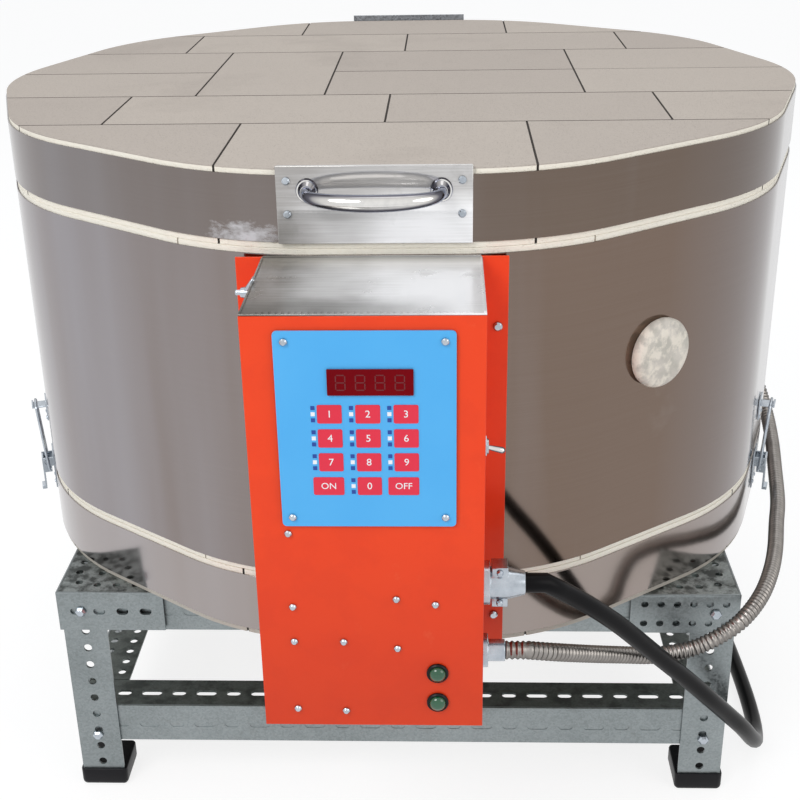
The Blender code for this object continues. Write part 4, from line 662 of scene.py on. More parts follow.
def soften(obj, width):
    edge = obj.modifiers.new("soft_edges", "BEVEL")
    edge.width = width
    edge.segments = 2
    edge.limit_method = "ANGLE"
    edge.angle_limit = math.radians(35)
    edge.use_clamp_overlap = True


def dressed(solid, name, finish, bevel=0.0003, smooth=30, body="kiln"):
    """A copy of a solid with its triangles merged and its edges eased, standing for it."""
    bm = bmesh.new()
    bm.from_mesh(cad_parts[solid].data)
    bmesh.ops.remove_doubles(bm, verts=bm.verts, dist=1e-6)
    bmesh.ops.dissolve_limit(bm, angle_limit=math.radians(1), verts=bm.verts, edges=bm.edges)
    obj = piece(name, bm, finish, body, [solid], smooth)
    if bevel:
        soften(obj, bevel)
    return obj


# %% Frames and simple shapes
def axes(along, across, through, origin):
    """A frame from three unit directions and an origin."""
    return (Matrix.Translation(origin)
            @ Matrix((Vector(along), Vector(across), Vector(through))).transposed().to_4x4())


def facing_front(x, y, z):
    return axes((1, 0, 0), UP, FRONT, (x, y, z))


def facing(point, direction):
    return Matrix.Translation(point) @ direction.to_track_quat("Z", "Y").to_matrix().to_4x4()


def add_block(bm, low, high, turn=Matrix()):
    low, high = Vector(low), Vector(high)
    bmesh.ops.create_cube(bm, size=1, matrix=turn @ Matrix.Translation((low + high) / 2)
                          @ Matrix.Diagonal((*(high - low), 1)))


def add_rod(bm, start, end, radius, end_radius=None, segments=24):
    start, along = Vector(start), Vector(end) - Vector(start)
    bmesh.ops.create_cone(bm, cap_ends=True, segments=segments, radius1=radius,
                          radius2=radius if end_radius is None else end_radius,
                          depth=along.length, matrix=facing(start + along / 2, along))


def loft(bm, rings, ends=False):
    """Faces between loops of vertices. A loop of one vertex is a point."""
    faces = []
    for first, second in zip(rings, rings[1:]):
        count = max(len(first), len(second))
        for k in range(count):
            corners = [first[k % len(first)], first[(k + 1) % count % len(first)],
                       second[(k + 1) % count % len(second)], second[k % len(second)]]
            faces.append(bm.faces.new(list(dict.fromkeys(corners))))
    if ends:
        faces += [bm.faces.new(list(reversed(rings[0]))), bm.faces.new(rings[-1])]
    return faces


def circle(radius, steps):
    return [(radius * math.cos(math.tau * k / steps), radius * math.sin(math.tau * k / steps))
            for k in range(steps if radius > 0 else 1)]


def turned(profile, place, steps):
    """A turned solid from (radius, height) points, placed by a frame whose Z is its axis."""
    bm = bmesh.new()
    loft(bm, [[bm.verts.new((x, y, height)) for x, y in circle(radius, steps)]
              for radius, height in profile])
    bmesh.ops.transform(bm, matrix=place, verts=bm.verts)
    return closed(bm)


def round_rectangle(half_wide, half_tall, corner, inset=0.0, steps=5):
    """Points of a rectangle with round corners, moved inwards by an inset."""
    radius = corner - inset
    points = []
    for quarter, (sx, sy) in enumerate(((1, 1), (-1, 1), (-1, -1), (1, -1))):
        for index in range(steps + 1):
            turn = math.pi / 2 * (quarter + index / steps)
            points.append((sx * (half_wide - corner) + radius * math.cos(turn),
                           sy * (half_tall - corner) + radius * math.sin(turn)))
    return points


print("piece helpers ready")

# %% [markdown]
# ## The drum's outline
#
# Sheet and brick share one outline: ten flats joined by soft corners. The same list of points,
# moved inwards, gives the inside of a sheet, so walls keep an even thickness all round.

# %% Outline of the drum
SIDE = math.tau / 10
STEPS = 12


def drum_outline(depth=0.0):
    """Points of the sheet's outline, moved inwards by a depth, anticlockwise from above."""
    reach = (FLAT - CORNER) / math.cos(SIDE / 2)
    return [outward(SIDE * (side + 0.5)) * reach
            + outward(SIDE * (side + 0.5) + SIDE * (number / STEPS - 0.5)) * (CORNER - depth)
            for side in range(10) for number in range(STEPS + 1)]


def chamber_outline(points, apothem):
    """The sharp-cornered chamber, sampled at the same turns as the outline."""
    found = []
    for point in points:
        turn = math.atan2(point.x, -point.y)
        off = (turn + SIDE / 2) % SIDE - SIDE / 2
        found.append(outward(turn) * apothem / math.cos(off))
    return found


def swept(loops):
    """A closed ring of faces through loops of (outline, height)."""
    bm = bmesh.new()
    rings = [[bm.verts.new(at(point.x, point.y, height)) for point in outline]
             for outline, height in loops]
    loft(bm, rings + rings[:1])
    return bm


print("outline has", len(drum_outline()), "points")

# %% [markdown]
# The three wrapped sheets are swept round that outline. A real wrap closes with a riveted lap, so
# each one gets a narrow strap at the back left, where two sides meet.

# %% Steel wraps
HEM = 0.0004


def wrap(name, solid, body="kiln"):
    low, high = (corner.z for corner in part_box(solid))
    outer, hem, inner = drum_outline(), drum_outline(HEM), drum_outline(SHEET)
    bm = swept([(hem, low), (outer, low + HEM), (outer, high - HEM), (hem, high), (inner, high),
                (inner, low)])
    return piece(name, bm, jacket_metal, body, [solid], 40)


wrap("lid_wrap", "lid_band", "lid")
ring_wrap = wrap("ring_wrap", "ring_jacket")
wrap("floor_wrap", "floor_band")

# %% Lap straps
STRAP_TURN = math.radians(-144)
STRAP_HALF, STRAP_UNDER, STRAP_FACE = 0.011, 0.0002, 0.0010


def strap(name, solid, count, body="kiln"):
    """A narrow strap over the lap of a wrap, with its screws, on a back left side."""
    low, high = (corner.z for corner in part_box(solid))
    away = outward(STRAP_TURN)
    lay = axes(sideways(STRAP_TURN), UP, away, AXIS + away * FLAT)
    bm = bmesh.new()
    add_block(bm, (-STRAP_HALF, low + 0.001, STRAP_UNDER), (STRAP_HALF, high - 0.001, STRAP_FACE),
              lay)
    soften(piece(name, bm, jacket_metal, body, smooth=30), 0.0003)
    return [(lay @ Vector((0, low + (high - low) * (index + 0.5) / count, 0.0009)), away)
            for index in range(count)]


strap_screws = {"lid": strap("lid_strap", "lid_band", 2, "lid"),
                "kiln": strap("ring_strap", "ring_jacket", 5)
                + strap("floor_strap", "floor_band", 2)}

# %% [markdown]
# The plug's hole goes through the ring's sheet. A Boolean with a plain round cutter is the most
# direct way to make it, and the cutter is applied at once so nothing hidden is left behind.

# %% Peephole cut
PEEP_TURN = math.radians(36)
PEEP_HEIGHT = 0.4390
PEEP_SPAN = (0.285, FLAT + 0.005)      # from inside the chamber to outside the sheet


def peephole(obj, inner_radius, outer_radius):
    bm = bmesh.new()
    inner, outer = (at(0, 0, PEEP_HEIGHT) + outward(PEEP_TURN) * reach for reach in PEEP_SPAN)
    add_rod(bm, inner, outer, inner_radius, outer_radius, 48)
    obj.data = carved(obj.data, bm)
    shade(obj.data, 40)


peephole(ring_wrap, 0.0250, 0.0250)
print("peephole cut in the wrap")

# %% [markdown]
# ## Brickwork
#
# The lid and the floor are laid like paving: rows of whole bricks, cut to the outline. Each brick
# is a rectangle clipped by the outline and raised to a block. Its joint edges are chamfered and
# given cement's colour. One brick stands across two rows, so it is listed on its own.


# %% Clipping a brick to the outline
def clipped(points, x_low, x_high, y_low, y_high):
    """The outline kept between two x and two y lines."""
    for axis, limit, sign in ((0, x_low, 1), (0, x_high, -1), (1, y_low, 1), (1, y_high, -1)):
        kept = []
        for here, following in zip(points, points[1:] + points[:1]):
            inside = (here[axis] - limit) * sign >= 0
            if inside:
                kept.append(here)
            if inside != ((following[axis] - limit) * sign >= 0):
                kept.append(here.lerp(following,
                                      (limit - here[axis]) / (following[axis] - here[axis])))
        points = kept
    tidy = []
    for point in points:
        if not tidy or (point - tidy[-1]).length > 0.0005:
            tidy.append(point)
    if len(tidy) > 1 and (tidy[0] - tidy[-1]).length < 0.0005:
        tidy.pop()
    return tidy


# %% Laying the bricks
BRICK_ROWS = [         # front, back and joints of each row, in inches
    (-15.00, -8.15, (-4.72, 4.28)),
    (-8.15, -3.65, (-9.17, -0.17, 8.83)),
    (-3.65, 0.85, (-6.96, -2.46, 6.54)),
    (0.85, 5.35, (-6.96, -2.46, 6.54)),
    (5.35, 9.85, (-8.93, 0.07, 9.07)),
    (9.85, 15.00, (-4.60, 4.40)),
]
TALL_BRICK = (-6.96, -2.46, -3.65, 5.35)
BEYOND = 40.0          # inches, outside the outline on either side
CHAMFER = 0.0009


def is_joint(edge):
    """True for an edge that lies along the line of a joint."""
    first, second = (vert.co - AXIS for vert in edge.verts)
    lines = [(1, value) for front, back, _ in BRICK_ROWS for value in (front, back)]
    lines += [(0, joint) for row in BRICK_ROWS for joint in row[2]]
    return any(abs(first[axis] - value * INCH) < 1e-5 and abs(second[axis] - value * INCH) < 1e-5
               for axis, value in lines)


def lay_bricks(name, finish, solid, low, high, body="kiln"):
    rim = drum_outline(SHEET + GAP)
    bm = bmesh.new()
    tint = bm.faces.layers.float.new("brick_tint")
    bricks = [TALL_BRICK]
    for front, back, joints in BRICK_ROWS:
        edges = [-BEYOND, *joints, BEYOND]
        bricks += [(left, right, front, back) for left, right in zip(edges, edges[1:])
                   if (left, right) != TALL_BRICK[:2] or front < TALL_BRICK[2]
                   or back > TALL_BRICK[3]]
    count = 0
    for brick in bricks:
        shape = clipped(rim, *(value * INCH for value in brick))
        if len(shape) < 3:
            continue
        count += 1
        for face in loft(bm, [[bm.verts.new(at(p.x, p.y, level)) for p in shape]
                              for level in (low, high)], True):
            face[tint] = (count * 0.618) % 1.0
    cut = bmesh.ops.bevel(bm, geom=[edge for edge in bm.edges if is_joint(edge)], offset=CHAMFER,
                          offset_type="OFFSET", segments=1, profile=0.5, affect="EDGES")
    for face in cut["faces"]:
        face.material_index = 1
    print(name, "has", count, "bricks and", len(cut["faces"]), "joint faces")
    piece(name, bm, [finish, cement], body, [solid])


lay_bricks("lid_bricks", lid_brick, "lid_slab", LID_LOW, LID_HIGH, "lid")
lay_bricks("floor_bricks", floor_brick, "floor_slab", FLOOR_LOW, FLOOR_HIGH)

# %% [markdown]
# The ring stands on end bricks cemented side by side, with two grooves routed round its inside for
# the heating wire. One fine sweep gives it crisp grooves and edges. Its upright joints are only
# hair lines, so they are drawn by the finish, at even turns round the axis.

# %% The ring's bricks and element grooves
WALL = 0.0635          # thickness of the ring's bricks
GROOVE_DEPTH = 0.0135
GROOVE_HALF = 0.0058   # half the height of a groove
ELEMENT_LEVELS = (ring_low.z + 0.085, ring_low.z + 0.085 + 0.133)
EASE = 0.0006


def ring_body():
    """The ring swept from its outline to the chamber, with its two grooves."""
    low, high = ring_low.z, ring_high.z
    rim, eased = drum_outline(SHEET + GAP), drum_outline(SHEET + GAP + EASE)
    wall = chamber_outline(rim, BRICK - WALL)
    groove = chamber_outline(rim, BRICK - WALL + GROOVE_DEPTH)
    loops = [(eased, low), (rim, low + EASE), (rim, high - EASE), (eased, high), (wall, high)]
    for level in reversed(ELEMENT_LEVELS):
        loops += [(wall, level + GROOVE_HALF), (groove, level + GROOVE_HALF),
                  (groove, level - GROOVE_HALF), (wall, level - GROOVE_HALF)]
    return swept(loops + [(wall, low)])


def jointed(finish, first, pitch, half_width):
    """Adds dark upright joints to a brick finish, at even turns from the front."""
    turn = maths("ABSOLUTE", maths("ARCTAN2", finish.x - AXIS.x, AXIS.y - finish.y))
    near = maths("ABSOLUTE", maths("FRACT", (turn - first) / pitch + 0.5) - 0.5)
    line = span(near, half_width / pitch, half_width * 0.6 / pitch)
    finish.stain(line * 0.8, (120, 104, 84))


jointed(ring_brick_finish, math.radians(25), math.radians(36), 0.0022)
peephole(piece("ring_bricks", ring_body(), ring_brick_finish,
               stands_for=["ring_brick"], smooth=30), 0.0194, 0.0243)

# %% [markdown]
# ## Geometry Nodes
#
# Slotted angle, ribbed conduit, a coiled element and screws all repeat one small shape. Each is
# a node tree with named inputs. The result is turned into a plain mesh at once, because the
# finished model must hold real faces and not instances.


# %% Tree helpers
def grower(name, *sizes, counts=()):
    """A Geometry Nodes tree with a geometry input, named sizes and a material."""
    tree = bpy.data.node_groups.new(name, "GeometryNodeTree")
    kinds = [("Geometry", "Geometry"), *((size, "Float") for size in sizes),
             *((count, "Int") for count in counts), ("Material", "Material")]
    for label, kind in kinds:
        tree.interface.new_socket(label, in_out="INPUT", socket_type="NodeSocket" + kind)
    tree.interface.new_socket("Geometry", in_out="OUTPUT", socket_type="NodeSocketGeometry")
    return tree, wires(tree.nodes.new("NodeGroupInput").outputs)


def close_tree(tree, geometry, given):
    """Ends a tree in Realize Instances and Set Material."""
    real = put(tree, "GeometryNodeRealizeInstances", {"Geometry": geometry})
    painted = put(tree, "GeometryNodeSetMaterial", {"Geometry": real,
                                                    "Material": given["Material"]})
    feed(tree.nodes.new("NodeGroupOutput").inputs[0], painted)


def join_geometry(*parts):
    node = parts[0].tree.nodes.new("GeometryNodeJoinGeometry")
    for part in parts:
        feed(node.inputs[0], part)
    return Wire(node.outputs[0])


def vector(tree, x=0.0, y=0.0, z=0.0):
    return put(tree, "ShaderNodeCombineXYZ", (x, y, z))


def grow(tree, source, finish, **sizes):
    """Runs a tree on a source object and gives back the plain mesh."""
    sockets = {item.name: item.identifier for item in tree.interface.items_tree
               if item.item_type == "SOCKET" and item.in_out == "INPUT"}
    scene.collection.objects.link(source)
    change = source.modifiers.new("grow", "NODES")
    change.node_group = tree
    change[sockets["Material"]] = finish.material
    for label, value in sizes.items():
        change[sockets[label.replace("_", " ")]] = value
    mesh = evaluated(source)
    mesh.materials.clear()
    mesh.materials.append(finish.material)
    return mesh


# %% [markdown]
# A flange is a flat strip with a row of holes. The outline and all its holes are closed curves,
# and Fill Curve makes the sheet between them. Long and short slots take turns, so two Instance on
# Points nodes pick the even and the odd places.

# %% Punched strip
strip_tree, given = grower("punched_strip", "Length", "Width", "Thickness", "Pitch", "Margin",
                           "Long slot", "Short slot", "Slot width")
gaps = maths("FLOOR", (given["Length"] - given["Margin"]) / given["Pitch"])
line = put(strip_tree, "GeometryNodeMeshLine", {
    "Count": gaps + 1.0, "Start Location": vector(strip_tree, gaps * given["Pitch"] * -0.5),
    "Offset": vector(strip_tree, given["Pitch"])})
odd = maths("MODULO", put(strip_tree, "GeometryNodeInputIndex"), 2.0)
slots = []
for slot_length, chosen in (("Long slot", 1.0 - odd), ("Short slot", odd)):
    blank = put(strip_tree, "GeometryNodeCurvePrimitiveQuadrilateral",
                {"Width": given[slot_length], "Height": given["Slot width"]})
    fillet = put(strip_tree, "GeometryNodeFilletCurve",
                 {"Curve": blank, "Count": 4, "Radius": given["Slot width"] * 0.495}, mode="POLY")
    slots.append(put(strip_tree, "GeometryNodeInstanceOnPoints",
                     {"Points": line, "Selection": chosen, "Instance": fillet}))
holes = put(strip_tree, "GeometryNodeRealizeInstances", {"Geometry": join_geometry(*slots)})
border = put(strip_tree, "GeometryNodeCurvePrimitiveQuadrilateral",
             {"Width": given["Length"], "Height": given["Width"]})
sheet = put(strip_tree, "GeometryNodeFillCurve", {"Curve": join_geometry(border, holes)})
raised = put(strip_tree, "GeometryNodeExtrudeMesh",
             {"Mesh": sheet, "Individual": False, "Offset": vector(strip_tree, z=1.0),
              "Offset Scale": given["Thickness"]})
under = put(strip_tree, "GeometryNodeFlipFaces", {"Mesh": sheet})
close_tree(strip_tree, put(strip_tree, "GeometryNodeMergeByDistance",
                           {"Distance": 0.00002, "Geometry": join_geometry(raised, under)}), given)

THICK = 0.0020         # sheet of the stand
FLANGE = 0.0385        # width of each side of an angle


def punched(length, width, place, pitch=0.0254, margin=0.020, slots=(0.0190, 0.0130),
            slot_width=0.0070):
    """A punched strip: X along it, Y across it, Z its thickness, moved by a frame."""
    source = bpy.data.objects.new("strip", bpy.data.meshes.new("strip"))
    mesh = grow(strip_tree, source, stand_zinc, Length=length, Width=width, Thickness=THICK,
                Pitch=pitch, Margin=margin, Long_slot=slots[0], Short_slot=slots[1],
                Slot_width=slot_width)
    mesh.transform(place)
    if place.to_3x3().determinant() < 0:
        mesh.flip_normals()
    return mesh


print("strip test:", len(punched(0.5, FLANGE, Matrix()).polygons), "faces")

# %% [markdown]
# ## The stand
#
# Four legs, eight rails and four corner gussets, all of 38 mm angle. Each angle is two punched
# strips that meet at the bend. Rails turn their upright flange outwards and their flat flange in.
# A thin liner lies in the upright flange, so its slots stay shallow marks as on the real stand.
# The flat flanges wear a darker copy of the zinc, painted shade for the flats under the kiln. Those
# at the sides carry two staggered rows of round holes.

# %% Rails
RAIL_SIDES = {"front": (Vector((1, 0, 0)), BACK), "back": (Vector((1, 0, 0)), FRONT),
         "left": (BACK, Vector((1, 0, 0))), "right": (BACK, Vector((-1, 0, 0)))}
BEND = 0.0012          # centre of a bend, inside both faces
BEND_RADIUS = 0.0014
LINER = (0.0004, 0.0016)
LINER_EDGE = 0.006
END = 0.003            # a liner and a bend stop short of the ends


def stand_rail(name, side):
    """Upright flange outside, flat flange at the top, both punched."""
    low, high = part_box(name)
    along, inward = RAIL_SIDES[side]
    half = (high - low) / 2
    length = half.dot(along) * 2
    edge = Vector((low.x + half.x * (1 - inward.x), low.y + half.y * (1 - inward.y), high.z))
    upright = punched(length, FLANGE - THICK,
                      axes(along, UP, inward, edge - UP * (FLANGE + THICK) / 2))
    if side in ("front", "back"):
        flats = [punched(length, FLANGE,
                         axes(along, inward, UP, edge + inward * FLANGE / 2 - UP * THICK))]
    else:
        flats = [punched(length - FLANGE * 2 + END, FLANGE / 2,
                         axes(along, inward, UP, edge + inward * FLANGE * share - UP * THICK),
                         0.0170, margin, (0.0078, 0.0078), 0.0076)
                 for share, margin in ((0.25, 0.012), (0.75, 0.0205))]
    liner = bmesh.new()
    reach = length / 2 - END
    add_block(liner, (-reach, LINER_EDGE - FLANGE, LINER[0]),
              (reach, -LINER_EDGE - THICK, LINER[1]),
              axes(along, UP, inward, edge))
    bend = edge + inward * BEND - UP * BEND
    add_rod(liner, bend - along * reach, bend + along * reach, BEND_RADIUS, segments=12)
    # The flat flanges take the darker zinc, which is painted shade.
    piece(name + "_punched", joined(upright, *map(second_finish, flats), liner),
          [stand_zinc, stand_shaded], stands_for=[name])


for level in ("top", "lower"):
    for side in RAIL_SIDES:
        stand_rail("%s_rail_%s" % (level, side), side)

# %% Legs
CORNERS = {"front_left": (-1, -1), "front_right": (1, -1), "back_left": (-1, 1),
           "back_right": (1, 1)}


def outer_corner(solid, sx, sy):
    """The outer top corner of a solid at a corner of the stand, and its sizes."""
    low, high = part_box(solid)
    return Vector((low.x if sx < 0 else high.x, low.y if sy < 0 else high.y, high.z)), high - low


def stand_leg(corner, sx, sy):
    """Two upright flanges with a single row of round holes each."""
    name = "leg_" + corner
    edge, size = outer_corner(name, sx, sy)
    in_x, in_y, centre = Vector((-sx, 0, 0)), Vector((0, -sy, 0)), edge - UP * size.z / 2
    row = (0.0180, 0.030, (0.0076, 0.0076), 0.0074)
    front = punched(size.z, FLANGE, axes(UP, in_x, in_y, centre + in_x * FLANGE / 2), *row)
    side = punched(size.z, FLANGE - THICK,
                   axes(UP, in_y, in_x, centre + in_y * (FLANGE + THICK) / 2), *row)
    piece(name + "_punched", joined(front, side), stand_zinc, stands_for=[name])


for corner, (sx, sy) in CORNERS.items():
    stand_leg(corner, sx, sy)

# %% [markdown]
# A gusset is a bent triangle of the same sheet. Its top sits under the kiln and is drilled, and
# its two short flanges lap outside the leg, where bolts hold them. The front right one came from
# another sheet, with two rows of small holes. Each foot is a moulded cap with a rounded sole.

# %% Gussets and feet
DRILLED = ((0.017, 0.017), (0.034, 0.013), (0.051, 0.013), (0.068, 0.013), (0.013, 0.034),
           (0.013, 0.051), (0.013, 0.068), (0.034, 0.032), (0.049, 0.032), (0.032, 0.049))
DRILL_RADIUS, TIP, SKIN = 0.0034, 0.010, THICK + 0.00005
FOOT_ROUND = 0.0045
FOOT_RINGS = ((0.0038, 0.0), (0.0017, 0.0008), (0.0005, 0.0024), (0.0, 0.0045))
FOOT_TOP = ((0.0, 0.0012), (0.0002, 0.0004), (0.0006, 0.0))


def gusset(corner, sx, sy):
    name = "gusset_" + corner
    edge, size = outer_corner(name, sx, sy)
    reach, drop = size.x, size.z

    def inside(a, b, below=0.0):
        return edge - Vector((sx * a, sy * b, below))

    bm, bends, drills = bmesh.new(), bmesh.new(), bmesh.new()
    shape = [(SKIN, SKIN), (reach, SKIN), (reach, TIP), (TIP, reach), (SKIN, reach)]
    loft(bm, [[bm.verts.new(inside(a, b, below)) for a, b in shape] for below in (THICK, 0.0)],
         True)
    for a, b in ((reach - 0.001, BEND), (BEND, reach - 0.001)):
        add_rod(bends, inside(BEND, BEND, BEND), inside(a, b, BEND), BEND_RADIUS, segments=12)
    for a, b in DRILLED:
        add_rod(drills, inside(a, b, 0.01), inside(a, b, -0.01), DRILL_RADIUS, segments=12)
    plate = second_finish(carved(bm, drills))
    in_x, in_y = Vector((-sx, 0, 0)), Vector((0, -sy, 0))
    hang = inside(0, 0, drop / 2)
    row = (0.0205, 0.022, (0.0105, 0.0105), 0.0068)
    front_frame = axes(in_x, UP, in_y, hang + in_x * reach / 2)
    if corner == "front_right":
        fronts = [punched(reach, drop / 2, Matrix.Translation(UP * drop * share) @ front_frame,
                          0.0140, 0.0150, (0.0064, 0.0064), 0.0062) for share in (-0.25, 0.25)]
    else:
        fronts = [punched(reach, drop, front_frame, *row)]
    side = punched(reach - SKIN, drop, axes(in_y, UP, in_x, hang + in_y * (reach + SKIN) / 2),
                   *row)
    piece(name + "_bent", joined(plate, side, bends, *fronts), [stand_zinc, gusset_zinc],
          stands_for=[name])


def foot_cap(corner):
    """A moulded cap with round corners and a rounded sole."""
    low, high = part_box("foot_" + corner)
    centre, half = (low + high) / 2, (high - low) / 2
    levels = ([(inset, low.z + rise) for inset, rise in FOOT_RINGS]
              + [(inset, high.z - drop) for inset, drop in FOOT_TOP])
    bm = bmesh.new()
    loft(bm, [[bm.verts.new((centre.x + x, centre.y + y, z))
               for x, y in round_rectangle(half.x, half.y, FOOT_ROUND, inset, 6)]
              for inset, z in levels], True)
    piece("foot_cap_" + corner, bm, black_plastic, stands_for=["foot_" + corner],
          smooth=40)


for corner, (sx, sy) in CORNERS.items():
    gusset(corner, sx, sy)
    foot_cap(corner)

# %% [markdown]
# ## Screws and bolts
#
# One tree sets a pan head on every point it is given. The points carry a direction, and Align
# Rotation turns each head to face along it. The dark cross in the head is two thin black bars,
# which paint the shade in its recess.

# %% Fastener tree
head_tree, given = grower("pan_heads", "Radius", "Height", counts=["Sides"])
direction = put(head_tree, "GeometryNodeInputNamedAttribute", {"Name": "facing"},
                data_type="FLOAT_VECTOR")
turn = put(head_tree, "FunctionNodeAlignRotationToVector", {"Vector": direction})
rim, crown = (put(head_tree, "GeometryNodeMeshCone",
                  {"Vertices": given["Sides"], "Radius Top": given["Radius"] * top,
                   "Radius Bottom": given["Radius"] * bottom, "Depth": given["Height"] * 0.5})
              for top, bottom in ((0.94, 1.0), (0.62, 0.94)))
crown = put(head_tree, "GeometryNodeTransform", {
    "Geometry": crown, "Translation": vector(head_tree, z=given["Height"] * 0.5)})
close_tree(head_tree, put(head_tree, "GeometryNodeInstanceOnPoints", {
    "Rotation": turn, "Points": given["Geometry"], "Instance": join_geometry(rim, crown)}), given)


def fasteners(name, spots, radius, height, body="kiln", sides=20):
    """Heads on (point, direction) spots, with a cross of painted shade for the recess in each round
    one.
    """
    mesh = bpy.data.meshes.new(name)
    mesh.from_pydata([tuple(point) for point, _ in spots], [], [])
    attribute = mesh.attributes.new("facing", "FLOAT_VECTOR", "POINT")
    for index, (_, direction) in enumerate(spots):
        attribute.data[index].vector = direction
    meshes = [grow(head_tree, bpy.data.objects.new(name, mesh), bright_zinc, Radius=radius,
                   Height=height, Sides=sides)]
    if sides > 8:
        # Two black bars: painted shade for the cross recess.
        bm = bmesh.new()
        for index, (point, direction) in enumerate(spots):
            turned_head = facing(point, direction) @ Matrix.Rotation(0.7 * index, 4, "Z")
            for wide, tall in ((0.45, 0.10), (0.10, 0.45)):
                add_block(bm, (-radius * wide, -radius * tall, height * 0.5),
                          (radius * wide, radius * tall, height * 0.79), turned_head)
        meshes.append(second_finish(bm))
    piece(name, joined(*meshes), [bright_zinc, black_plastic], body, smooth=30)


def grid(places_x, y, places_z, direction=FRONT):
    """Spots on an upright face, for every place across and every height."""
    return [(Vector((x, y, z)), direction) for x in places_x for z in places_z]


# %% Screws of the box and straps
box_low, box_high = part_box("box_cover")
panel_low, panel_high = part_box("controller_panel")
PANEL_FACE = panel_low.y + 0.0005
SEATED = 0.0004        # a head stands off its sheet by this much
INSET = 0.0072
FACE_SCREWS = [(-2.49, -8.73), (-2.48, -11.05), (0.38, -10.79), (1.45, -10.96), (-2.49, -12.18),
               (-1.11, -12.19), (0.39, -12.40), (-2.49, -14.46), (-1.11, -14.53)]
FACE_TOP = 23.75       # inches above the floor, where those heights count from
fasteners("face_screws", [(Vector((x * INCH + AXIS.x, box_low.y - SEATED, (z + FACE_TOP) * INCH)),
                           FRONT) for x, z in FACE_SCREWS], 0.0027, 0.0020)
fasteners("panel_screws", grid((panel_low.x + INSET, panel_high.x - INSET), PANEL_FACE - SEATED,
                               (panel_low.z + INSET, panel_high.z - INSET)), 0.0027, 0.0018)
for owner, places in strap_screws.items():
    fasteners("strap_screws_" + owner, places, 0.0028, 0.0018, owner)

# %% Stand bolts
FROM_EDGE, LOW_BOLT, WASHER = 0.0205, 0.0566, 0.0006
LEG_BEHIND = 0.0023    # a leg's face lies behind its gusset's
bolts = []
for corner, (sx, sy) in CORNERS.items():
    edge, size = outer_corner("gusset_" + corner, sx, sy)
    for height, behind in ((edge.z - size.z / 2, 0.0), (LOW_BOLT, LEG_BEHIND)):
        for near_x, near_y, direction in ((FROM_EDGE, behind - WASHER, Vector((0, sy, 0))),
                                          (behind - WASHER, FROM_EDGE, Vector((sx, 0, 0)))):
            bolts.append((Vector((edge.x - sx * near_x, edge.y - sy * near_y, height)), direction))
fasteners("stand_bolts", bolts, 0.0052, 0.0032, sides=6)

# %% [markdown]
# ## Control box
#
# The cover is folded orange sheet. A copy of the solid already has every hole in the right place,
# so its triangles are merged, flat areas are made one face again, and its edges are eased.

# %% Folded cover, back plate and top
dressed("box_cover", "orange_cover", orange, 0.0008)
dressed("box_back_plate", "orange_back_plate", orange, 0.0004)
dressed("box_top", "box_lid_plate", box_sheet, 0.0004)

TEETH = 34             # cut marks along the front edge of the top
TOOTH_HALF, TEETH_INSET, LIP = 0.0012, 0.010, 0.0012
top_low, top_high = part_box("box_top")
wall_low, wall_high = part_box("box_back_plate")
bm = bmesh.new()
for index in range(TEETH):
    x = (top_low.x + TEETH_INSET
         + (top_high.x - top_low.x - TEETH_INSET * 2) * index / (TEETH - 1))
    add_block(bm, (x - TOOTH_HALF, top_low.y + 0.0002, top_high.z - 0.0010),
              (x + TOOTH_HALF, top_low.y + 0.0036, top_high.z + 0.0007))
for x in (top_low.x + LIP / 2, top_high.x - LIP * 1.5):
    add_block(bm, (x, top_low.y + 0.002, top_high.z - 0.0008),
              (x + LIP, top_high.y - 0.004, top_high.z + 0.0010))
add_block(bm, (top_low.x + 0.001, wall_low.y - 0.0006, top_high.z - 0.0020),
          (top_high.x - 0.001, wall_high.y + 0.0001, top_high.z + 0.0006))
piece("top_edge_teeth", bm, box_sheet)

# %% [markdown]
# The controller is a printed film on a plate. Keys, marks and digits are thin raised shapes, so
# each colour has an edge of its own. Only digits and ON and OFF are lettered.


# %% Rounded plates
def rounded_plate(bm, x, z, width, height, radius, y_back, y_face):
    """A plate that faces the front, with round corners."""
    points = round_rectangle(width / 2, height / 2, radius)
    loft(bm, [[bm.verts.new((x + a, y, z + b)) for a, b in points] for y in (y_back, y_face)],
         True)


def plate_over(solid, name, finish, radius, y_face):
    """A rounded plate as large as a solid, standing for it."""
    low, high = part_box(solid)
    bm = bmesh.new()
    rounded_plate(bm, (low.x + high.x) / 2, (low.z + high.z) / 2, high.x - low.x, high.z - low.z,
                  radius, high.y, y_face)
    soften(piece(name, bm, finish, stands_for=[solid], smooth=30), 0.0003)


plate_over("controller_panel", "panel_film", blue_film, 0.0030, PANEL_FACE)


# %% Keys, marks and digits
def lettering(label, size, x, y, z):
    """Flat letters that face the front, as a mesh."""
    curve = bpy.data.curves.new("label", "FONT")
    curve.body = label
    curve.size = size
    curve.align_x = "CENTER"
    curve.align_y = "CENTER"
    curve.extrude = 0.00006
    curve.resolution_u = 3
    text = bpy.data.objects.new("label", curve)
    scene.collection.objects.link(text)
    text.matrix_world = Matrix.Translation((x, y, z)) @ Matrix.Rotation(math.pi / 2, 4, "X")
    return evaluated(text)


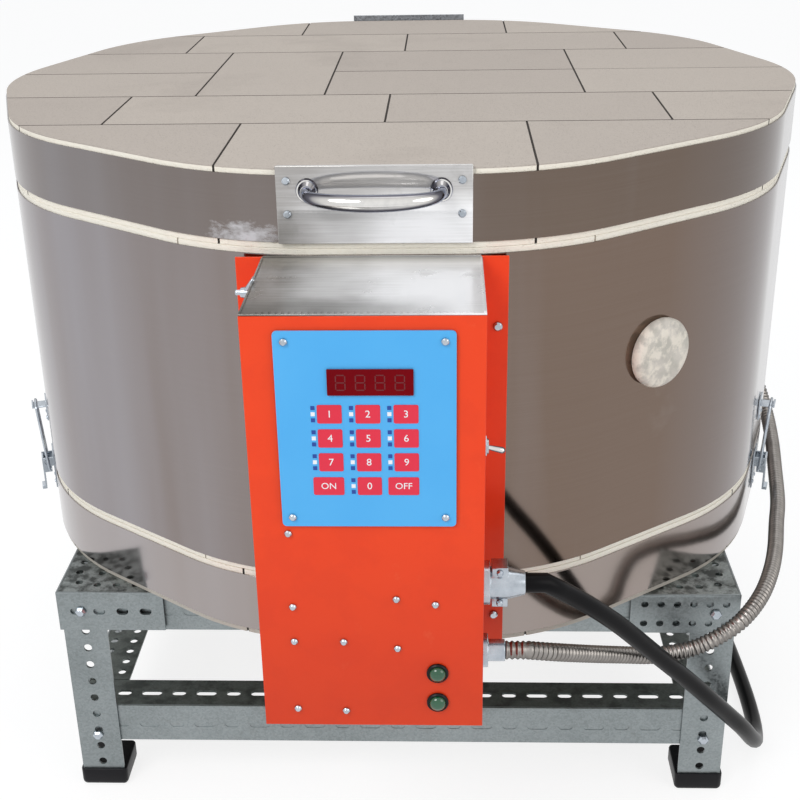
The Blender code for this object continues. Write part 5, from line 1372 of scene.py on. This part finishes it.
KEY_X = [AXIS.x - 0.0315, AXIS.x - 0.0064, AXIS.x + 0.0185]
KEY_Z = [0.4720, 0.4545, 0.4370, 0.4192]
KEY_HEIGHT, KEY_ROUND, KEY_RAISE, WIDE_SHIFT = 0.0132, 0.0012, 0.0004, -0.0022
PRINT = 0.0002         # how far printed shapes reach in and out of the film
LABELS = ["1", "2", "3", "4", "5", "6", "7", "8", "9", "ON", "0", "OFF"]
keys, marks_blue, marks_white = bmesh.new(), bmesh.new(), bmesh.new()
letters = []
for index, label in enumerate(LABELS):
    row, column = divmod(index, 3)
    x, z, wide = KEY_X[column], KEY_Z[row], len(label) > 1
    shifted = x + WIDE_SHIFT * wide
    rounded_plate(keys, shifted, z, 0.0205 if wide else 0.0162, KEY_HEIGHT, KEY_ROUND,
                  PANEL_FACE + PRINT, PANEL_FACE - KEY_RAISE)
    for offset, target in ((0.0044, marks_blue), (0.0, marks_white), (-0.0044, marks_blue)):
        if not wide:
            add_block(target, (x - 0.0122, PANEL_FACE - PRINT, z + offset - 0.0014),
                      (x - 0.0095, PANEL_FACE + PRINT, z + offset + 0.0014))
    letters.append(lettering(label, 0.0066 if wide else 0.0072, shifted,
                             PANEL_FACE - KEY_RAISE - 0.0001, z))
piece("red_keys", keys, key_red, smooth=30)
piece("key_marks_blue", marks_blue, mark_blue)
piece("key_marks_white", marks_white, key_print)
piece("key_digits", joined(*letters), key_print)

# %% Display
window = middle("display_window")
window_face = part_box("display_window")[0].y
plate_over("display_window", "display_glass", window_red, 0.0006, window_face)
DIGIT_PITCH, LIMB, STROKE = 0.0128, 0.0026, 0.0004
SEGMENTS = ((0, 2, 0), (0, 0, 0), (0, -2, 0), (-1, 1, 1), (1, 1, 1), (-1, -1, 1), (1, -1, 1))
bm = bmesh.new()
for digit in range(4):
    for dx, dz, tall in SEGMENTS:
        x = window.x + (digit - 1.5) * DIGIT_PITCH + dx * 0.0030
        z = window.z + dz * LIMB
        half_x, half_z = (STROKE, 0.0021) if tall else (0.0025, STROKE)
        add_block(bm, (x - half_x, window_face - 0.0001, z - half_z),
                  (x + half_x, window_face + PRINT, z + half_z))
segment_dark = Finish("segment_dark", 0.3)
segment_dark.paint(blend(noise(segment_dark.where, 200.0), (92, 6, 14), (112, 10, 20)))
piece("display_segments", bm, segment_dark)

# %% [markdown]
# Behind the film sit the circuit board and the relay. They are seen only when the cover is off,
# so copies of their solids with eased edges and a proper finish are enough.

# %% Board, relay and box fittings
dressed("controller_board", "circuit_board_part", board_green, 0.0002)
dressed("power_relay", "relay_case", black_plastic, 0.0008)
dressed("thermocouple", "thermocouple_probe", ceramic, 0.0006)
dressed("terminal_box", "terminal_cover", plate_zinc, 0.0008)
dressed("toggle_switch", "switch_body", bright_zinc)
dressed("toggle_bat", "switch_bat", chrome, 0.0, 50, "toggle")
dressed("conduit_connector", "conduit_fitting", bright_zinc, 0.0006, 40)

# %% Pilot lamps
LENS = [(0, 0.0056), (0.0022, 0.0054), (0.0040, 0.0047), (0.0054, 0.0035), (0.0060, 0.0020),
        (0.0060, -0.024), (0, -0.024)]
BEZEL = [(0.0061, 0.0021), (0.0070, 0.0022), (0.0078, 0.0014), (0.0078, 0.0), (0.0061, 0.0),
         (0.0061, 0.0021)]
for solid in ("pilot_lamp_lower", "pilot_lamp_upper"):
    centre = middle(solid)
    seat = facing_front(centre.x, box_low.y - 0.0003, centre.z)
    lamp_parts = turned(LENS, seat, 40), second_finish(turned(BEZEL, seat, 40))
    piece(solid + "_lit", joined(*lamp_parts), [lens_green, black_plastic],
          stands_for=[solid], smooth=35)

# %% [markdown]
# A wing nut holds the cover at the top left, and a screw head shows on the back plate at the
# right. Both are small, but they catch the light and say how the box comes off.

# %% Wing nut and plate screws
NUT_LONG, STUD_LONG, WINGS_AT, WING_TILT = 0.0065, 0.0100, 0.0040, 0.62
WING = Vector((0.0012, 0.0034, 0.0125))    # half thickness, half width and reach of a wing
nut = Vector((box_low.x - 0.0006, AXIS.y - 16.41 * INCH, 0.5340))
bm = bmesh.new()
add_rod(bm, nut, nut - Vector((NUT_LONG, 0, 0)), 0.0042, 0.0034, 16)
add_rod(bm, nut, nut - Vector((STUD_LONG, 0, 0)), 0.0019, None, 12)
for sign in (-1, 1):
    tilt = (Matrix.Translation(nut - Vector((WINGS_AT, 0, 0)))
            @ Matrix.Rotation(sign * WING_TILT, 4, "Y"))
    root, tip = sorted((sign * 0.002, sign * WING.z))
    add_block(bm, (-WING.x, -WING.y, root), (WING.x, WING.y, tip), tilt)
soften(piece("wing_nut", bm, bright_zinc, smooth=30), 0.0006)
PLATE_INSET = 0.0075   # of a screw from the side of its plate
fasteners("plate_screws", grid((wall_high.x - PLATE_INSET, wall_low.x + PLATE_INSET),
                               wall_low.y - 0.0005, (0.4872, 0.2400)), 0.0036, 0.0024)

# %% [markdown]
# ## Lid furniture
#
# The handle is a chromed bow on two oval feet, screwed to a plate of brushed sheet whose lip
# turns over the lid's edge. The bow is a tube along a smooth curve, thicker in its middle.

# %% Handle plate
hp_low, hp_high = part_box("handle_plate")
dressed("handle_plate", "handle_plate_bent", handle_sheet, 0.0005, body="lid")
fasteners("handle_plate_screws",
          grid((hp_low.x + PLATE_INSET, hp_high.x - PLATE_INSET), hp_low.y - 0.0003,
               (hp_high.z - 0.0105, hp_low.z + 0.0217)), 0.0030, 0.0020, "lid")


# %% Bow handle
def tube(points, radii, sides):
    """A round tube along points with a radius at each, kept from twisting."""
    bm = bmesh.new()
    side = UP
    rings = []
    for index, point in enumerate(points):
        along = (points[min(len(points) - 1, index + 1)] - points[max(0, index - 1)]).normalized()
        across = along.cross(side).normalized()
        side = across.cross(along).normalized()
        rings.append([bm.verts.new(point + across * x + side * y)
                      for x, y in circle(radii[index], sides)])
    loft(bm, rings, True)
    return bm


HALF_SPAN, BOW_STEPS = 0.0470, 40
BOW_THIN, BOW_SWELL, BOW_SQUARE, BOW_SAG = 0.0042, 0.0019, 0.75, 0.0008
CONES = ((0.0088, 0.0080, 0.0, 0.0018), (0.0070, 0.0048, 0.0018, 0.0050))
handle_low, handle_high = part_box("lid_handle")
grip = middle("lid_handle")
depth = handle_high.y - handle_low.y - 0.0102
bow, thickness = [], []
for index in range(BOW_STEPS + 1):
    turn = math.pi * index / BOW_STEPS
    bow.append(Vector((grip.x - HALF_SPAN * math.cos(turn),
                       handle_high.y - 0.004 - depth * math.sin(turn) ** BOW_SQUARE,
                       grip.z - BOW_SAG * math.sin(turn))))
    thickness.append(BOW_THIN + BOW_SWELL * math.sin(turn) ** 2)
feet = bmesh.new()
for sign in (-1, 1):
    seat = facing_front(grip.x + sign * HALF_SPAN, handle_high.y, grip.z)
    for radius, top_radius, base, top in CONES:
        bmesh.ops.create_cone(feet, cap_ends=True, segments=32, radius1=radius,
                              radius2=top_radius, depth=top - base,
                              matrix=seat @ Matrix.Translation((0, 0, (base + top) / 2))
                              @ Matrix.Diagonal((0.90, 1.0, 1, 1)))
piece("bow_handle", joined(tube(bow, thickness, 24), feet), chrome, "lid",
      ["lid_handle"], 40)

# %% Hinge
dressed("lid_hinge_leaf", "hinge_leaf_lid", plate_zinc, smooth=40, body="lid")
dressed("ring_hinge_leaf", "hinge_leaf_ring", plate_zinc, smooth=40)
dressed("hinge_pin", "hinge_rod", bright_zinc, 0.0005, 40)
lid_leaf_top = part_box("lid_hinge_leaf")[1].z
ring_leaf_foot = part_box("ring_hinge_leaf")[0].z
LEAF = 0.0020          # thickness of a hinge leaf
leaf_y = AXIS.y + FLAT + GAP + LEAF + SEATED
spread = [AXIS.x + x for x in (-0.052, -0.018, 0.018, 0.052)]
lid_rows = (lid_leaf_top - 0.014, lid_leaf_top - 0.040)
ring_rows = (ring_leaf_foot + 0.010, ring_leaf_foot + 0.032)
fasteners("hinge_screws_lid", grid(spread, leaf_y, lid_rows, BACK), 0.0035, 0.0024, "lid")
fasteners("hinge_screws_ring", grid(spread, leaf_y, ring_rows, BACK), 0.0035, 0.0024)

# %% [markdown]
# The peephole plug is a turned ceramic cone with a round head. It can be drawn out to look at
# the glass, so it rides on its own body.

# %% Peephole plug
plug_frame = axes(sideways(PEEP_TURN), UP, outward(PEEP_TURN),
                  at(0, 0, PEEP_HEIGHT) + outward(PEEP_TURN) * (FLAT + GAP))
PLUG = [(0, 0.0090), (0.0180, 0.0090), (0.0245, 0.0084), (0.0273, 0.0068), (0.0285, 0.0045),
        (0.0283, 0.0012), (0.0276, 0.0), (0.0235, 0.0), (0.0192, -0.0620), (0.0182, -0.0645),
        (0, -0.0645)]
piece("plug_turned", turned(PLUG, plug_frame, 64), ceramic, "plug",
      ["peephole_plug"], 35)

# %% [markdown]
# ## Latches
#
# Each toggle latch is a base with two ears, a lever, a wire bail and a keeper. The levers and
# bails move, so each copy of a solid rides on the body of its own part.

# %% Latch parts
for hand in ("left", "right"):
    dressed("latch_base_" + hand, "latch_plate_" + hand, bright_zinc)
    dressed("latch_keeper_" + hand, "latch_hook_" + hand, bright_zinc)
    dressed("latch_lever_" + hand, "latch_handle_" + hand, bright_zinc,
            body="lever_" + hand)
    dressed("latch_bail_" + hand, "latch_wire_" + hand, bright_zinc, 0.0, 60,
            "bail_" + hand)

# %% Latch rivets
LATCH_TURN, LATCH_FACE = math.radians(72), FLAT + 0.0018
RIVET_ACROSS, RIVET_HEIGHTS = 0.00784, (0.2345, 0.3030)
fasteners("latch_rivets", [
    (at(0, 0, height) + outward(turn) * LATCH_FACE + sideways(turn) * across, outward(turn))
    for turn in (-LATCH_TURN, LATCH_TURN) for across in (-RIVET_ACROSS, RIVET_ACROSS)
    for height in RIVET_HEIGHTS], 0.0019, 0.0010, sides=12)

# %% [markdown]
# ## Heating element
#
# The wire is wound into a long spring and laid in both grooves. A node tree turns a plain path
# into that spring: it resamples the path finely, and pushes each point off it by an angle that
# grows with the distance walked.


# %% Path helpers
def walked_path(tree, given, pitch):
    """The path in small steps, and an angle that turns once for every pitch walked."""
    path = put(tree, "GeometryNodeResampleCurve",
               {"Curve": given["Geometry"], "Length": given["Point gap"]}, mode="LENGTH")
    return path, put(tree, "GeometryNodeSplineParameter", output="Length") * math.tau / pitch


def round_sweep(tree, curve, radius, sides, **more):
    """A tube along a curve."""
    profile = put(tree, "GeometryNodeCurvePrimitiveCircle", {"Resolution": sides,
                                                             "Radius": radius})
    return put(tree, "GeometryNodeCurveToMesh", {"Curve": curve, "Fill Caps": True,
                                                 "Profile Curve": profile, **more})


def poly_curve(name, points):
    """An object with a curve of straight legs through the points."""
    curve = bpy.data.curves.new(name, "CURVE")
    curve.dimensions = "3D"
    spline = curve.splines.new("POLY")
    spline.points.add(len(points) - 1)
    for target, point in zip(spline.points, points):
        target.co = (*point, 1)
    return bpy.data.objects.new(name, curve)


# %% Coil tree
coil_tree, given = grower("wound_wire", "Coil radius", "Turn pitch", "Wire radius", "Point gap")
path, angle = walked_path(coil_tree, given, given["Turn pitch"])
normal = put(coil_tree, "GeometryNodeInputNormal")
tangent = put(coil_tree, "GeometryNodeInputTangent")
binormal = put(coil_tree, "ShaderNodeVectorMath", (normal, tangent), operation="CROSS_PRODUCT")
swing = put(coil_tree, "ShaderNodeVectorMath", [
    put(coil_tree, "ShaderNodeVectorMath",
        {0: direction, "Scale": given["Coil radius"] * maths(wave, angle)}, operation="SCALE")
    for direction, wave in ((normal, "COSINE"), (binormal, "SINE"))], operation="ADD")
spring = put(coil_tree, "GeometryNodeSetPosition", {"Geometry": path, "Offset": swing})
close_tree(coil_tree, round_sweep(coil_tree, spring, given["Wire radius"], 5), given)

# %% Element in its grooves
ELEMENT = BRICK - WALL + GROOVE_DEPTH - GROOVE_HALF      # axis to the middle of the wire's coil
ENDS = 0.040           # half the gap between its two ends at the front


def groove_path(level, sign):
    """Once round the drum from the front, clockwise from above if the sign is 1."""
    corners = [outward(-sign * SIDE * (k + 0.5)) * ELEMENT / math.cos(SIDE / 2)
               for k in range(10)]
    return [at(-sign * ENDS, -ELEMENT, level), *(at(p.x, p.y, level) for p in corners),
            at(sign * ENDS, -ELEMENT, level)]


springs = [grow(coil_tree, poly_curve("groove", groove_path(level, sign)), element_metal,
                Coil_radius=0.0043, Turn_pitch=0.0085, Wire_radius=0.0010, Point_gap=0.00085)
           for level, sign in zip(ELEMENT_LEVELS, (1, -1))]
tails = bmesh.new()
tail_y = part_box("heating_element")[0].y - AXIS.y
for level in ELEMENT_LEVELS:
    add_rod(tails, at(-ENDS, -ELEMENT - 0.004, level), at(-ENDS, tail_y, level), 0.0026)
piece("element_wire", joined(*springs, tails), element_metal,
      stands_for=["heating_element"], smooth=60)

# %% [markdown]
# ## Conduit
#
# Metal conduit is a strip wound into ribs. The tree walks the route in small steps and lets the
# profile's scale rise and fall with the distance, once for every rib.

# %% Rib tree
rib_tree, given = grower("ribbed_tube", "Radius", "Rib pitch", "Groove share", "Point gap")
path, angle = walked_path(rib_tree, given, given["Rib pitch"])
rise = given["Groove share"] * (maths("SINE", angle) * 0.5 - 0.5)
close_tree(rib_tree, round_sweep(rib_tree, path, given["Radius"], 18, Scale=rise + 1.0), given)


FINE_STEPS = 24        # points worked out between two places of a route


def smooth_route(places, spacing):
    """Evenly spaced points on a smooth curve through the places."""
    ends = [places[0] * 2 - places[1]] + places + [places[-1] * 2 - places[-2]]
    fine = []
    for before, first, second, after in zip(ends, ends[1:], ends[2:], ends[3:]):
        for index in range(FINE_STEPS):
            t = index / FINE_STEPS
            fine.append(0.5 * (2 * first + (second - before) * t
                               + (2 * before - 5 * first + 4 * second - after) * t ** 2
                               + (3 * first - before - 3 * second + after) * t ** 3))
    fine.append(places[-1])
    legs = [(b - a).length for a, b in zip(fine, fine[1:])]
    count = max(2, round(sum(legs) / spacing))
    found, travelled, index = [], 0.0, 0
    for number in range(count + 1):
        distance = sum(legs) * number / count
        while index < len(legs) - 1 and travelled + legs[index] < distance:
            travelled += legs[index]
            index += 1
        share = min(1, (distance - travelled) / legs[index])
        found.append(fine[index].lerp(fine[index + 1], share))
    return found


# %% Ribbed conduit
CONDUIT_RADIUS = 0.0085        # over its end fittings
RIB_RADIUS = 0.0072
CONDUIT_ROUTE = [
    (0.1294, -0.4060, 0.2360), (0.1590, -0.3780, 0.2150), (0.1885, -0.3520, 0.1960),
    (0.2192, -0.3330, 0.1825), (0.2500, -0.3210, 0.1805), (0.2731, -0.3180, 0.1907),
    (0.2934, -0.3100, 0.2020), (0.3134, -0.2850, 0.2085), (0.3297, -0.2500, 0.2108),
    (0.3444, -0.2050, 0.2086), (0.3570, -0.1550, 0.2090), (0.3670, -0.1150, 0.2120),
    (0.3760, -0.0600, 0.2190), (0.3840, -0.0100, 0.2240), (0.3880, 0.0350, 0.2330),
    (0.3850, 0.0700, 0.2520), (0.3740, 0.0870, 0.2820),
]
BOX_TURN, BOX_DEPTH, BOX_ALONG = math.radians(108), 0.017, -0.0240
fitting = middle("conduit_connector")
start = Vector((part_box("conduit_connector")[1].x + GAP, fitting.y, fitting.z))
end = (at(0, 0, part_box("terminal_box")[0].z - GAP)
       + outward(BOX_TURN) * (FLAT + GAP + BOX_DEPTH) + sideways(BOX_TURN) * BOX_ALONG)
straight = CONDUIT_RADIUS * 2
route = [start + Vector((straight, 0, 0)), *(at(*place) for place in CONDUIT_ROUTE),
         end - UP * straight]
ribbed = grow(rib_tree, poly_curve("conduit_path", [start, *smooth_route(route, 0.006), end]),
              conduit_zinc, Radius=RIB_RADIUS, Rib_pitch=0.0042, Groove_share=0.17,
              Point_gap=0.0007)
piece("ribbed_conduit", ribbed, conduit_zinc, stands_for=["conduit"], smooth=60)

# %% [markdown]
# ## Power cord
#
# A mains lead has one real length. It leaves the clamp, drops under its own weight, turns on the
# floor beside the stand, and its spare length lies in a coil behind the kiln with the plug on
# the end.

# %% Clamp connector
CLAMP_SCREW = Vector((0.0133, 0.0078, 0.0128))     # past the box, before and beside the middle
clamp = middle("cord_connector")
dressed("cord_connector", "clamp_connector", bright_zinc, 0.0007, 40)
fasteners("clamp_screws", grid([box_high.x + CLAMP_SCREW.x], clamp.y - CLAMP_SCREW.y,
                               (clamp.z - CLAMP_SCREW.z, clamp.z + CLAMP_SCREW.z)), 0.0026, 0.0022)

# %% Cord, coil and plug
CORD_RADIUS = 0.0075
CORD_ROUTE = [
    (0.1330, -0.4080, 0.2920), (0.1544, -0.3970, 0.2725), (0.1806, -0.3810, 0.2438),
    (0.2141, -0.3590, 0.2018), (0.2495, -0.3360, 0.1576), (0.2700, -0.3230, 0.1310),
    (0.2880, -0.3080, 0.1057), (0.3091, -0.2900, 0.0755), (0.3280, -0.2620, 0.0400),
    (0.3400, -0.2270, 0.0150), (0.3460, -0.1900, 0.0080), (0.3475, -0.1400, 0.0078),
    (0.3460, -0.0600, 0.0078), (0.3420, 0.0400, 0.0078), (0.3370, 0.1400, 0.0078),
    (0.3330, 0.2300, 0.0078), (0.3315, 0.3000, 0.0078),
]
COIL_X, COIL_Y, COIL_RADIUS, COIL_TURNS = 0.2500, 0.3900, 0.0765, 1.25
COIL_PINCH, COIL_CLIMB = 0.0165, 0.0162    # how far a turn narrows, and how high it rises
COIL_STEPS = 24                            # points in each turn
PLUG_HEIGHT = 0.0243                       # of the lead where it meets the plug
cord_exit = Vector((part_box("cord_connector")[1].x + GAP, clamp.y, clamp.z))
coil = []
for index in range(int(COIL_TURNS * COIL_STEPS) + 1):
    t = index / COIL_STEPS
    inward = t if t <= COIL_TURNS / 2 else COIL_TURNS - t
    reach = COIL_RADIUS + COIL_PINCH * (COIL_TURNS / 4 - inward)
    climb = min(1, max(0, (t - COIL_TURNS / 2 + 0.25) / 0.5))
    coil.append(at(COIL_X + reach * math.cos(math.tau * t), COIL_Y + reach * math.sin(math.tau * t),
                   CORD_RADIUS + GAP + COIL_CLIMB * climb * climb * (3 - 2 * climb)))
lead = CORD_RADIUS * 2
arrive = coil[0] - BACK * lead
route = [cord_exit + Vector((lead, 0, 0)), *(at(*place) for place in CORD_ROUTE),
         arrive - BACK * lead]
along = coil[-1] - coil[-2]
along.z = 0
along.normalize()
leave = coil[-1] + along * lead * 1.5
leave.z = PLUG_HEIGHT
cord_points = [cord_exit, *smooth_route(route, CORD_RADIUS * 2.3), arrive, *coil, leave,
               leave + along * lead]
mains_lead = poly_curve("mains_lead", cord_points)
mains_lead.data.bevel_depth = CORD_RADIUS
mains_lead.data.bevel_resolution = 4
mains_lead.data.use_fill_caps = True
mains_lead.data.materials.append(black_rubber.material)
scene.collection.objects.link(mains_lead)
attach(mains_lead, "kiln")
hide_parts("power_cord", "power_cord_coil")
cord_length = sum((b - a).length for a, b in zip(cord_points, cord_points[1:]))
plug = dressed("power_plug", "mains_plug", black_rubber, 0.0008, 40)
print("cord is %.3f m long" % cord_length)

# %% [markdown]
# ## Floor
#
# The floor is the last piece. It belongs to the studio and not to the kiln.

# %% Studio floor
studio = Finish("studio_floor", 0.9)
studio.set(Base_Color=(0.90, 0.90, 0.90, 1))
rays = wires(studio.tree.nodes.new("ShaderNodeLightPath").outputs)
white = maths("MAXIMUM", rays["Is Camera Ray"], rays["Is Glossy Ray"]) * 0.72
glow = put(studio.tree, "ShaderNodeEmission", ((1, 1, 1, 1), 1.14))
mixed = put(studio.tree, "ShaderNodeMixShader", (white, Wire(studio.shader.outputs[0]), glow))
feed(studio.tree.nodes["Material Output"].inputs[0], mixed)
bm = bmesh.new()
bmesh.ops.create_grid(bm, x_segments=1, y_segments=1, size=8)
ground = bpy.data.objects.new("studio_floor", closed(bm))
scene.collection.objects.link(ground)
ground.data.materials.append(studio.material)
ground.location.z = -0.0002
